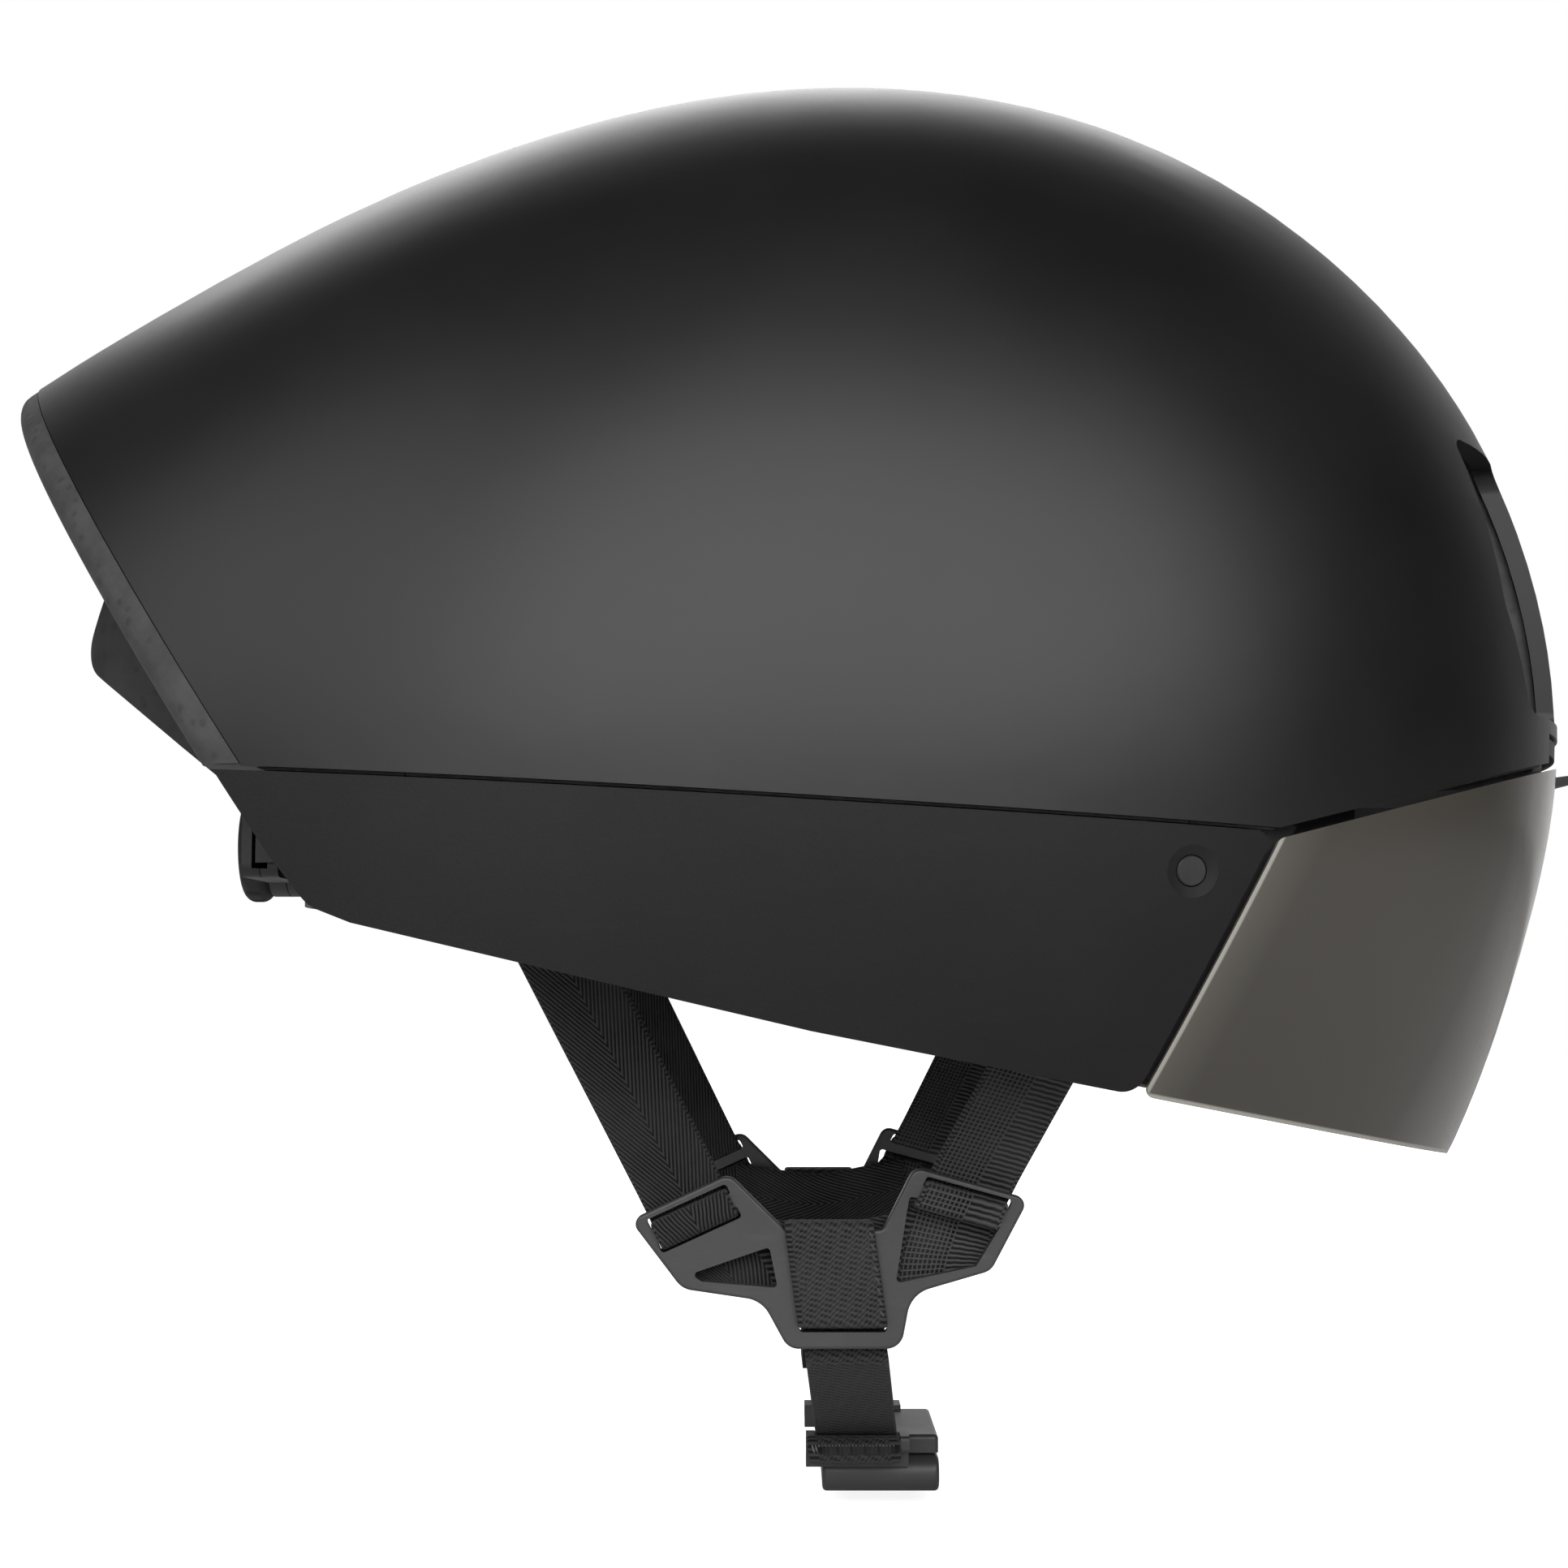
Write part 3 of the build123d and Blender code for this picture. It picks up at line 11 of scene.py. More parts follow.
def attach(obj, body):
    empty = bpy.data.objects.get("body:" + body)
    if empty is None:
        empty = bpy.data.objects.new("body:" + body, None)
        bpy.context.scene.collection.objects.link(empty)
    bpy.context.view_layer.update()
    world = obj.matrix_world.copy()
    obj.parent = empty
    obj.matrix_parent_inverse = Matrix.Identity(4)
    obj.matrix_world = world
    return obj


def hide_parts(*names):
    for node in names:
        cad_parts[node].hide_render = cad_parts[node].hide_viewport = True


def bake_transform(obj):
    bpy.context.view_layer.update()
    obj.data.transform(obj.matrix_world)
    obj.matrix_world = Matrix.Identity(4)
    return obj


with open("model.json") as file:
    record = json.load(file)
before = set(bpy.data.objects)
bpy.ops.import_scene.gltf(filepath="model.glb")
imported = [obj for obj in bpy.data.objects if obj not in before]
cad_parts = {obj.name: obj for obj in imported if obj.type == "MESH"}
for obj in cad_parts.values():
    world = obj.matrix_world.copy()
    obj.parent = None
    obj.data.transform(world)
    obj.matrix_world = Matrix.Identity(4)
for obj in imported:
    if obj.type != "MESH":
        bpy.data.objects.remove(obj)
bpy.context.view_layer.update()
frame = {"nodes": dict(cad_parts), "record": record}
nodes = frame["nodes"]
MM = 0.001
SIDES = ((-1, "right"), (1, "left"))

# Two edges of the shield in the side view, rear and lower, each a point in mm and a direction
LENS_REAR = (76.4, -15.8), (-21.1, -39.6)
LENS_LOW = (55.3, -55.4), (1.0, -0.2)


# Node materials. Sizes are in metres, and colours are linear.

class Graph:
    """Shorthand for adding nodes to a tree."""

    place = None

    def __init__(self, tree):
        self.tree = tree

    def node(self, kind, **settings):
        made = self.tree.nodes.new(kind)
        for key, value in settings.items():
            setattr(made, key, value)
        return made

    def feed(self, socket, value):
        if isinstance(value, bpy.types.NodeSocket):
            self.tree.links.new(value, socket)
        else:
            socket.default_value = value

    def calc(self, operation, *values):
        made = self.node("ShaderNodeMath", operation=operation)
        for socket, value in zip(made.inputs, values):
            self.feed(socket, value)
        return made.outputs[0]

    def plus(self, first, second):
        return self.calc("ADD", first, second)

    def times(self, first, second):
        return self.calc("MULTIPLY", first, second)

    def highest(self, first, second):
        return self.calc("MAXIMUM", first, second)

    def span(self, value, low, high, out_low=0.0, out_high=1.0):
        """Straight change from one range to another, held at the ends."""
        made = self.node("ShaderNodeMapRange")
        for socket, number in zip(made.inputs, (value, low, high, out_low, out_high)):
            self.feed(socket, number)
        return made.outputs[0]

    def blend(self, share, first, second):
        made = self.node("ShaderNodeMix", data_type="RGBA")
        self.feed(made.inputs[0], share)
        for socket, value in ((made.inputs[6], first), (made.inputs[7], second)):
            self.feed(socket, (*value, 1) if isinstance(value, tuple) else value)
        return made.outputs[2]

    def axes(self, source=None):
        made = self.node("ShaderNodeSeparateXYZ")
        self.feed(made.inputs[0], self.place if source is None else source)
        return made.outputs


class Paint(Graph):
    """A node material, built up from textures in the object's own metres."""

    def __init__(self, name, **sockets):
        self.material = bpy.data.materials.new(name)
        self.material.use_nodes = True
        super().__init__(self.material.node_tree)
        self.shader = self.tree.nodes["Principled BSDF"]
        for socket, value in sockets.items():
            self.shader.inputs[socket.replace("_", " ")].default_value = value
        self.place = self.node("ShaderNodeTexCoord").outputs["Object"]

    def noise(self, size, detail=4.0, roughness=0.55, stretch=None):
        """Noise from 0 to 1 with blotches of a size. A stretch scales the place on each axis."""
        source = self.place
        if stretch is not None:
            mapping = self.node("ShaderNodeMapping")
            self.feed(mapping.inputs["Vector"], source)
            mapping.inputs["Scale"].default_value = stretch
            source = mapping.outputs[0]
        made = self.node("ShaderNodeTexNoise")
        made.inputs["Scale"].default_value = 1 / size
        made.inputs["Detail"].default_value = detail
        made.inputs["Roughness"].default_value = roughness
        self.feed(made.inputs["Vector"], source)
        return made.outputs[0]

    def cells(self, size, randomness=1.0):
        made = self.node("ShaderNodeTexVoronoi")
        made.inputs["Scale"].default_value = 1 / size
        made.inputs["Randomness"].default_value = randomness
        self.feed(made.inputs["Vector"], self.place)
        return made.outputs

    def bump(self, height, depth, strength=1.0):
        made = self.node("ShaderNodeBump")
        made.inputs["Strength"].default_value = strength
        made.inputs["Distance"].default_value = depth
        self.feed(made.inputs["Height"], height)
        return made.outputs[0]

    def finish(self, colour, roughness, normal):
        for name, value in (("Base Color", colour), ("Roughness", roughness), ("Normal", normal)):
            self.feed(self.shader.inputs[name], value)
        return self.material


def moulded(name, dark, light, rough_low, rough_high, grain=0.0004, depth=0.00002, **sockets):
    """Moulded plastic: fine grain, faint blotches and handling marks."""
    paint = Paint(name, **sockets)
    cloud = paint.noise(0.03, 3)
    fine = paint.noise(grain, 2)
    marks = paint.noise(0.012, 6, 0.7, stretch=(1, 1, 6))
    colour = paint.blend(paint.span(cloud, 0.3, 0.7), dark, light)
    worn = paint.span(marks, 0.56, 0.72, 0, 0.35)
    colour = paint.blend(worn, colour, tuple(1.5 * tone for tone in light))
    rough = paint.span(cloud, 0.3, 0.7, rough_low, rough_high)
    rough = paint.plus(rough, paint.span(fine, 0, 1, -0.04, 0.04))
    return paint.finish(colour, rough, paint.bump(fine, depth))


def gloss_shell():
    """Satin skin with a faint orange peel, dust and long light scuffs."""
    paint = Paint("gloss_shell", Specular_IOR_Level=0.5)
    cloud = paint.noise(0.05, 3)
    peel = paint.noise(0.0022, 2, 0.4)
    dust = paint.noise(0.0007, 2, 0.6)
    scuffs = paint.noise(0.02, 8, 0.75, stretch=(0.5, 1, 7))
    colour = paint.blend(paint.span(cloud, 0.35, 0.65), (0.0075, 0.0075, 0.008), (0.0105, 0.0105, 0.011))
    colour = paint.blend(paint.span(scuffs, 0.6, 0.8, 0, 0.15), colour, (0.02, 0.02, 0.02))
    rough = paint.plus(paint.span(cloud, 0.3, 0.7, 0.38, 0.42), paint.span(dust, 0, 1, -0.02, 0.03))
    return paint.finish(colour, rough, paint.bump(peel, 0.00001, 0.4))


def matte_panel():
    """Matte skirt with a fine grain and light scuffs."""
    paint = Paint("matte_panel", Specular_IOR_Level=0.3)
    cloud = paint.noise(0.04, 3)
    grain = paint.noise(0.00045, 3, 0.6)
    scuffs = paint.noise(0.015, 7, 0.7, stretch=(0.6, 1, 5))
    colour = paint.blend(paint.span(cloud, 0.35, 0.65), (0.0085, 0.0085, 0.009), (0.0115, 0.0115, 0.012))
    colour = paint.blend(paint.span(scuffs, 0.58, 0.75, 0, 0.25), colour, (0.02, 0.02, 0.02))
    rough = paint.span(grain, 0.2, 0.8, 0.52, 0.64)
    return paint.finish(colour, rough, paint.bump(grain, 0.00004))


# Where the painted shade on the foam's tail ends, each from full to none: in X, away from the middle, and
# upward
TAIL_SHADE_FRONT, TAIL_SHADE_SIDE, TAIL_SHADE_TOP = (-0.094, -0.09), (0.0568, 0.0575), (0.034, 0.038)


def beaded_foam():
    """Fused foam beads: soft grey mottling with darker pits between some beads, and painted shade over the
    tail behind the band.
    """
    paint = Paint("foam", Specular_IOR_Level=0.3)
    cloud = paint.noise(0.007, 4, 0.6)
    beads = paint.cells(0.0021)
    fine = paint.noise(0.0008, 3, 0.6)
    colour = paint.blend(paint.span(cloud, 0.35, 0.65), (0.05, 0.05, 0.05), (0.078, 0.078, 0.077))
    chosen = paint.span(paint.axes(beads["Color"])[0], 0.66, 0.74)
    pit = paint.span(beads["Distance"], 0.2, 0.42, 1, 0)
    pit = paint.times(pit, paint.times(chosen, 0.55))
    colour = paint.blend(pit, colour, (0.025, 0.025, 0.025))
    colour = paint.blend(paint.span(fine, 0.3, 0.7, 0, 0.3), colour, (0.095, 0.095, 0.094))
    x, y, z = paint.axes()[:3]
    # Painted shade: the tail behind the band is darkened toward a near black
    tail_shade = paint.span(x, *TAIL_SHADE_FRONT, 1, 0)
    tail_shade = paint.times(tail_shade, paint.span(paint.calc("ABSOLUTE", y), *TAIL_SHADE_SIDE, 1, 0))
    tail_shade = paint.times(tail_shade, paint.span(z, *TAIL_SHADE_TOP, 1, 0))
    colour = paint.blend(paint.times(tail_shade, 0.55), colour, (0.012, 0.012, 0.012))
    dome = paint.span(beads["Distance"], 0, 0.7, 1, 0)
    height = paint.plus(dome, paint.times(fine, 0.4))
    height = paint.calc("SUBTRACT", height, pit)
    return paint.finish(colour, paint.span(fine, 0.2, 0.8, 0.55, 0.75), paint.bump(height, 0.0001, 0.7))


def edge_mask(paint, line, width, core=0.6):
    """1 near a line of the side view, up to a core share of a width in mm, then down to 0 at the width."""
    point, direction = line
    x, _, z = paint.axes()[:3]
    length = math.hypot(*direction)
    across = (-direction[1] / length, direction[0] / length)
    shift = -(point[0] * across[0] + point[1] * across[1]) * MM
    away = paint.plus(paint.times(x, across[0]), paint.times(z, across[1]))
    away = paint.calc("ABSOLUTE", paint.plus(away, shift))
    return paint.span(away, width * core * MM, width * MM, 1, 0)


# The shield's lighter front, from full to none away from the middle, and the widths of its lighter rear band
# and of its painted edge highlights in mm
LENS_FRONT, REAR_BAND_WIDTH, EDGE_HIGHLIGHT_WIDTH = (0.036, 0.06), 7.0, 0.8


def smoked_lens():
    """Smoked shield: lighter in front and toward its rear edge, with painted highlights along its rear and
    lower edges.
    """
    paint = Paint("smoked_lens", Specular_IOR_Level=0.4, Coat_Weight=0.08, Coat_Roughness=0.12)
    cloud = paint.noise(0.06, 1)
    front = paint.span(paint.calc("ABSOLUTE", paint.axes()[1]), *LENS_FRONT, 1, 0)
    colour = paint.blend(paint.span(cloud, 0.3, 0.7), (0.07, 0.064, 0.055), (0.078, 0.071, 0.062))
    colour = paint.blend(front, colour, (0.2, 0.185, 0.168))
    rear_band = edge_mask(paint, LENS_REAR, REAR_BAND_WIDTH, 0.0)
    colour = paint.blend(paint.times(rear_band, 0.35), colour, (0.2, 0.185, 0.165))
    # Painted highlights: thin pale lines along the rear and lower edges
    rim = paint.highest(edge_mask(paint, LENS_REAR, EDGE_HIGHLIGHT_WIDTH), edge_mask(paint, LENS_LOW, EDGE_HIGHLIGHT_WIDTH))
    colour = paint.blend(rim, colour, (0.42, 0.4, 0.36))
    smear = paint.noise(0.02, 1, 0.5, stretch=(1, 1, 2))
    rough = paint.span(smear, 0.3, 0.7, 0.19, 0.22)
    return paint.finish(colour, rough, paint.bump(paint.noise(0.014, 1), 0.00001, 0.2))


# Pitches of the weaves, and where ribs and selvage begin and are full, out from a tape's middle
TWILL, CHECK, CHECK_DRIFT, RIB = 0.0006, 0.00075, 0.0021, 0.0009
PICK, ROW, SELVAGE = 0.00085, 0.0012, 0.0008
RIBS_FROM, SELVAGE_FROM = (0.0009, 0.0012), (0.0062, 0.0065)


def webbing(name, style, dark, light, stretch=1.0):
    """Woven tape. The UV map holds metres along the tape and across it. A stretch lengthens the weave."""
    paint = Paint(name, Specular_IOR_Level=0.2, Sheen_Weight=0.1, Sheen_Roughness=0.5)
    along, across = paint.axes(paint.node("ShaderNodeUVMap", uv_map="tape").outputs[0])[:2]
    along = paint.calc("DIVIDE", along, stretch)

    def wave(source, pitch):
        return paint.calc("SINE", paint.times(source, 2 * math.pi / pitch))

    aside = paint.calc("ABSOLUTE", across)
    if style == "herringbone":
        slant = paint.plus(paint.times(along, 0.4), paint.times(aside, 0.92))
        height = paint.span(wave(slant, TWILL), -0.8, 0.8)
    elif style == "ribbed":
        checks = paint.span(paint.highest(wave(along, CHECK), wave(across, CHECK)), 0.1, 0.9)
        bend = paint.plus(along, paint.times(wave(across, CHECK_DRIFT), 0.00003))
        ribs = paint.span(wave(bend, RIB), -0.9, 0.9)
        side = paint.span(across, *RIBS_FROM)
        height = paint.plus(paint.times(checks, paint.calc("SUBTRACT", 1.0, side)), paint.times(ribs, side))
    else:
        slant = paint.plus(along, paint.times(across, 0.35))
        drift = paint.plus(across, paint.times(along, 0.2))
        dash = paint.times(wave(slant, PICK), wave(drift, ROW))
        picks = paint.span(wave(along, PICK), -1, 1)
        height = paint.plus(paint.span(dash, -0.7, 0.7), paint.times(picks, 0.4))
    edge = paint.span(wave(along, SELVAGE), -0.6, 0.6)
    height = paint.blend(paint.span(aside, *SELVAGE_FROM), height, edge)
    thread = paint.noise(0.00035, 3, 0.7)
    height = paint.plus(height, paint.times(thread, 0.5))
    fade = paint.noise(0.012, 4)
    colour = paint.blend(paint.span(height, 0.25, 1.25), dark, light)
    colour = paint.blend(paint.span(fade, 0.4, 0.7, 0, 0.3), colour, tuple(1.3 * tone for tone in light))
    rough = paint.span(height, 0, 1.2, 0.85, 0.6)
    return paint.finish(colour, rough, paint.bump(height, 0.0002, 1.0))


def pad_fabric():
    """Brushed knit over foam."""
    paint = Paint("pad_fabric", Specular_IOR_Level=0.2, Sheen_Weight=0.5, Sheen_Roughness=0.4)
    knit = paint.cells(0.0012, 0.25)
    fuzz = paint.noise(0.0004, 3, 0.7)
    cloud = paint.noise(0.02, 3)
    height = paint.plus(paint.span(knit["Distance"], 0, 0.6, 1, 0), paint.times(fuzz, 0.6))
    colour = paint.blend(paint.span(height, 0.3, 1.4), (0.009, 0.009, 0.01), (0.032, 0.032, 0.034))
    colour = paint.blend(paint.span(cloud, 0.4, 0.7, 0, 0.3), colour, (0.04, 0.04, 0.042))
    return paint.finish(colour, paint.span(fuzz, 0, 1, 0.8, 0.95), paint.bump(height, 0.0002, 0.8))


def plain_coat():
    """Dull coating with a fine satin grain and faint blotches."""
    paint = Paint("black_coat", Specular_IOR_Level=0.5)
    grain = paint.noise(0.0005, 3, 0.6)
    cloud = paint.noise(0.004, 3)
    colour = paint.blend(paint.span(cloud, 0.35, 0.65), (0.024, 0.024, 0.0245), (0.034, 0.034, 0.035))
    return paint.finish(colour, paint.span(grain, 0.2, 0.8, 0.34, 0.46), paint.bump(grain, 0.00002, 0.6))


def steel():
    """Brushed magnet metal."""
    paint = Paint("steel", Metallic=1.0)
    brushed = paint.noise(0.0006, 4, 0.6, stretch=(1, 8, 1))
    colour = paint.blend(paint.span(brushed, 0.2, 0.8), (0.42, 0.42, 0.42), (0.6, 0.6, 0.6))
    return paint.finish(colour, paint.span(brushed, 0.2, 0.8, 0.24, 0.4), paint.bump(brushed, 0.00001, 0.5))


def thread_paint(name, dark, light):
    """Twisted sewing thread."""
    paint = Paint(name, Specular_IOR_Level=0.4, Sheen_Weight=0.3)
    twist = paint.noise(0.0003, 3, 0.6)
    colour = paint.blend(twist, dark, light)
    return paint.finish(colour, paint.span(twist, 0, 1, 0.5, 0.7), paint.bump(twist, 0.00006))


paints = {
    "gloss_shell": gloss_shell(),
    "matte_panel": matte_panel(),
    "foam": beaded_foam(),
    "smoked_lens": smoked_lens(),
    "steel": steel(),
    "black_coat": plain_coat(),
    "pad_fabric": pad_fabric(),
    "matte_plastic": moulded("matte_plastic", (0.012, 0.012, 0.0125), (0.02, 0.02, 0.021), 0.45, 0.6),
    "yoke_plastic": moulded("yoke_plastic", (0.05, 0.05, 0.051), (0.064, 0.064, 0.066), 0.34, 0.45,
                            Specular_IOR_Level=0.5),
    "buckle_plastic": moulded("buckle_plastic", (0.045, 0.045, 0.046), (0.06, 0.06, 0.062), 0.36, 0.48),
    "band_plastic": moulded("band_plastic", (0.02, 0.02, 0.021), (0.03, 0.03, 0.031), 0.4, 0.5),
    "dial_plastic": moulded("dial_plastic", (0.014, 0.014, 0.0145), (0.022, 0.022, 0.023), 0.3, 0.4),
    "grip_rubber": moulded("grip_rubber", (0.012, 0.012, 0.012), (0.018, 0.018, 0.018), 0.65, 0.8,
                           grain=0.0003, depth=0.00005),
    "webbing": webbing("webbing", "plain", (0.001, 0.001, 0.001), (0.056, 0.056, 0.057)),
}
herringbone = webbing("webbing_herringbone", "herringbone", (0.001, 0.001, 0.001), (0.052, 0.052, 0.053))
ribbed = webbing("webbing_ribbed", "ribbed", (0.002, 0.002, 0.002), (0.085, 0.085, 0.087))
# A darker copy of the plain webbing with its weave pulled long: painted shade for the slack strap under the
# chin
shaded_slack_webbing = webbing("webbing_slack_shaded", "plain", (0.001, 0.001, 0.001), (0.03, 0.03, 0.031), 1.9)
pale_thread = thread_paint("stitch_thread", (0.12, 0.12, 0.12), (0.3, 0.3, 0.295))
dull_thread = thread_paint("edge_thread", (0.03, 0.03, 0.03), (0.09, 0.09, 0.09))

slot_of = {part["node"]: part["material_slot"] for part in frame["record"]["subparts"]}
for name, thing in nodes.items():
    paint = paints[slot_of[name]]
    if not thing.material_slots:
        thing.data.materials.append(None)
    for place in thing.material_slots:
        place.link = "OBJECT"
        place.material = paint


# Mesh helpers

def link(name, data):
    made = bpy.data.objects.new(name, data)
    bpy.context.scene.collection.objects.link(made)
    return made


def add_mesh(name, points, faces, material, smooth_angle=None):
    mesh = bpy.data.meshes.new(name)
    mesh.from_pydata([tuple(p) for p in points], [], faces)
    mesh.validate()
    mesh.shade_smooth()
    if smooth_angle is not None:
        mesh.set_sharp_from_angle(angle=math.radians(smooth_angle))
    mesh.materials.append(material)
    return link(name, mesh)


CORNER_POINTS, LONGEST_REACH, SHORTEST_RUN = 6, 0.45, 1e-7


def softened(stations, radius, step):
    """A run of (point, span) stations with its corners rounded and its long runs divided."""
    def between(first, second, share):
        return first[0].lerp(second[0], share), first[1].lerp(second[1], share)

    rounded = [stations[0]]
    for before, here, after in zip(stations, stations[1:], stations[2:]):
        back, ahead = (before[0] - here[0]).length, (after[0] - here[0]).length
        reach = min(radius, back * LONGEST_REACH, ahead * LONGEST_REACH)
        start, end = between(here, before, reach / back), between(here, after, reach / ahead)
        for k in range(CORNER_POINTS):
            share = k / (CORNER_POINTS - 1)
            rounded.append(between(between(start, here, share), between(here, end, share), share))
    rounded.append(stations[-1])
    path = [rounded[0]]
    for start, end in zip(rounded, rounded[1:]):
        run = (end[0] - start[0]).length
        if run < SHORTEST_RUN:
            continue
        count = max(1, math.ceil(run / step))
        path += [between(start, end, (k + 1) / count) for k in range(count)]
    return path


TAPE_STEP, TAPE_FLATS, TAPE_SHARP = 1.5, 12, 50
EDGE_TURNS = (0.6, 1.2, math.pi - 1.2, math.pi - 0.6)


class Tape:
    """Flat webbing through stations of a middle point and a vector from edge to edge."""

    def __init__(self, name, stations, thickness, material, radius=1.2):
        stations = softened(stations, radius * MM, TAPE_STEP * MM)
        self.path = [point for point, _ in stations]
        self.spans = [span for _, span in stations]
        self.thickness = thickness
        self.normals = []
        last = len(self.path) - 1
        for k in range(len(self.path)):
            ahead = (self.path[min(k + 1, last)] - self.path[max(k - 1, 0)]).normalized()
            self.normals.append(self.spans[k].cross(ahead).normalized())
        crown, flats = thickness / 2, TAPE_FLATS
        vertices, faces, marks = [], [], []
        run = 0.0
        self.runs = []
        for k, centre in enumerate(self.path):
            if k:
                run += (centre - self.path[k - 1]).length
            self.runs.append(run)
            width = self.spans[k].length
            flat = width / 2 - crown
            profile = [(-flat + 2 * flat * j / flats, crown) for j in range(flats + 1)]
            profile += [(flat + crown * math.sin(a), crown * math.cos(a)) for a in EDGE_TURNS]
            profile += [(flat - 2 * flat * j / flats, -crown) for j in range(flats + 1)]
            profile += [(-flat - crown * math.sin(a), crown * math.cos(a)) for a in EDGE_TURNS[::-1]]
            for v, h in profile:
                vertices.append(centre + self.spans[k] * (v / width) + self.normals[k] * h)
                marks.append((run, v))
        size = len(vertices) // len(self.path)
        for k in range(last):
            for j in range(size):
                n = (j + 1) % size
                faces.append((k * size + j, k * size + n, (k + 1) * size + n, (k + 1) * size + j))
        faces.append(tuple(range(size))[::-1])
        faces.append(tuple(last * size + j for j in range(size)))
        self.piece = add_mesh(name, vertices, faces, material, TAPE_SHARP)
        layer = self.piece.data.uv_layers.new(name="tape")
        for loop in self.piece.data.loops:
            layer.data[loop.index].uv = marks[loop.vertex_index]

    def spot(self, run, v, lift):
        """Point and directions on the tape: a run along it, a place across it, a lift off its middle."""
        k = int(np.searchsorted(self.runs, run))
        k = min(max(k, 1), len(self.path) - 1)
        t = (run - self.runs[k - 1]) / (self.runs[k] - self.runs[k - 1])
        centre = self.path[k - 1].lerp(self.path[k], t)
        normal = self.normals[k - 1].lerp(self.normals[k], t).normalized()
        ahead = (self.path[k] - self.path[k - 1]).normalized()
        return centre + self.spans[k].normalized() * v + normal * lift, ahead, normal


STITCH_PITCH, STITCH_SHARE = 1.7 * MM * 1.25, 0.8
STITCH_RINGS, STITCH_SIDES, STITCH_TIP = 5, 6, 0.45
STITCH_ARCH, STITCH_SINK = 1.1, 0.5


def stitches(name, tape, rows, side, material, radius):
    """Raised thread stitches on a tape. Each row is a start and an end, as run and place across in mm."""
    vertices, faces = [], []
    last, sides = STITCH_RINGS - 1, STITCH_SIDES
    for row in rows:
        (run_a, v_a), (run_b, v_b) = [(run * MM, v * MM) for run, v in row]
        count = max(1, round(math.hypot(run_b - run_a, v_b - v_a) / STITCH_PITCH))
        for k in range(count):
            ends = []
            for t in (k / count, (k + STITCH_SHARE) / count):
                ends.append((run_a + (run_b - run_a) * t, v_a + (v_b - v_a) * t))
            rings = []
            for m in range(STITCH_RINGS):
                t = m / last
                run = ends[0][0] + (ends[1][0] - ends[0][0]) * t
                v = ends[0][1] + (ends[1][1] - ends[0][1]) * t
                arch = radius * (math.sin(math.pi * t) * STITCH_ARCH - STITCH_SINK)
                rings.append(tape.spot(run, v, side * (tape.thickness / 2 + arch)))
            base = len(vertices)
            for m, (centre, _, normal) in enumerate(rings):
                along = (rings[min(m + 1, last)][0] - rings[max(m - 1, 0)][0]).normalized()
                beside = along.cross(normal).normalized()
                size = radius * (STITCH_TIP if m in (0, last) else 1)
                for j in range(sides):
                    turn = j * 2 * math.pi / sides
                    vertices.append(centre + (beside * math.cos(turn) + normal * math.sin(turn)) * size)
            for m in range(last):
                ring = base + m * sides
                for j in range(sides):
                    n = (j + 1) % sides
                    faces.append((ring + j, ring + n, ring + sides + n, ring + sides + j))
            faces.append(tuple(base + j for j in range(sides))[::-1])
            faces.append(tuple(base + last * sides + j for j in range(sides)))
    return add_mesh(name, vertices, faces, material)


# Webbing, on the same lines as the solids of the part. Sizes in mm, angles in degrees.

WEB_WIDTH, WEB_THICKNESS = 13.6, 1.2
YOKE_Y, YOKE_THICKNESS = 64.0, 2.6
SEAT = 0.3
LIFT = YOKE_THICKNESS / 2 + SEAT + WEB_THICKNESS / 2
INNER_Y, OUTER_Y = -(YOKE_Y - LIFT), -(YOKE_Y + LIFT)
BAR_PITCH = 4.0
SLOT_HUG = 0.3
STRAIGHT = 5.0


def cos(angle):
    return math.cos(math.radians(angle))


def sin(angle):
    return math.sin(math.radians(angle))


def upper_tape(name, side, slot, slot_angle, strap_angle, top, flap, material):
    """Strap from the liner to its yoke slot, round the bar, with a flap behind the plate.

    The flap's stations are x and z of its middle, and half its span in x and z.
    """
    down = (-cos(strap_angle), -sin(strap_angle))
    half = WEB_WIDTH / sin(strap_angle - slot_angle) / 2
    edge = (cos(slot_angle) * half, sin(slot_angle) * half)
    top_run = (slot[1] - top[1]) / sin(strap_angle)
    path = [
        (top_run, -top[0]),
        ((top_run - STRAIGHT) / 2, (INNER_Y - top[0]) / 2),
        (-STRAIGHT, INNER_Y),
        (SLOT_HUG, INNER_Y),
        (SLOT_HUG, OUTER_Y),
        (BAR_PITCH, OUTER_Y),
        (BAR_PITCH, INNER_Y),
    ]
    stations = [(slot[0] + down[0] * s, t, slot[1] + down[1] * s, *edge) for s, t in path]
    stations += [(x, INNER_Y, z, across, rise) for x, z, across, rise in flap]
    stations = [(Vector((x, side * -y, z)) * MM, Vector((2 * across, 0, 2 * rise)) * MM)
                for x, y, z, across, rise in stations]
    return Tape(name, stations, WEB_THICKNESS * MM, material)


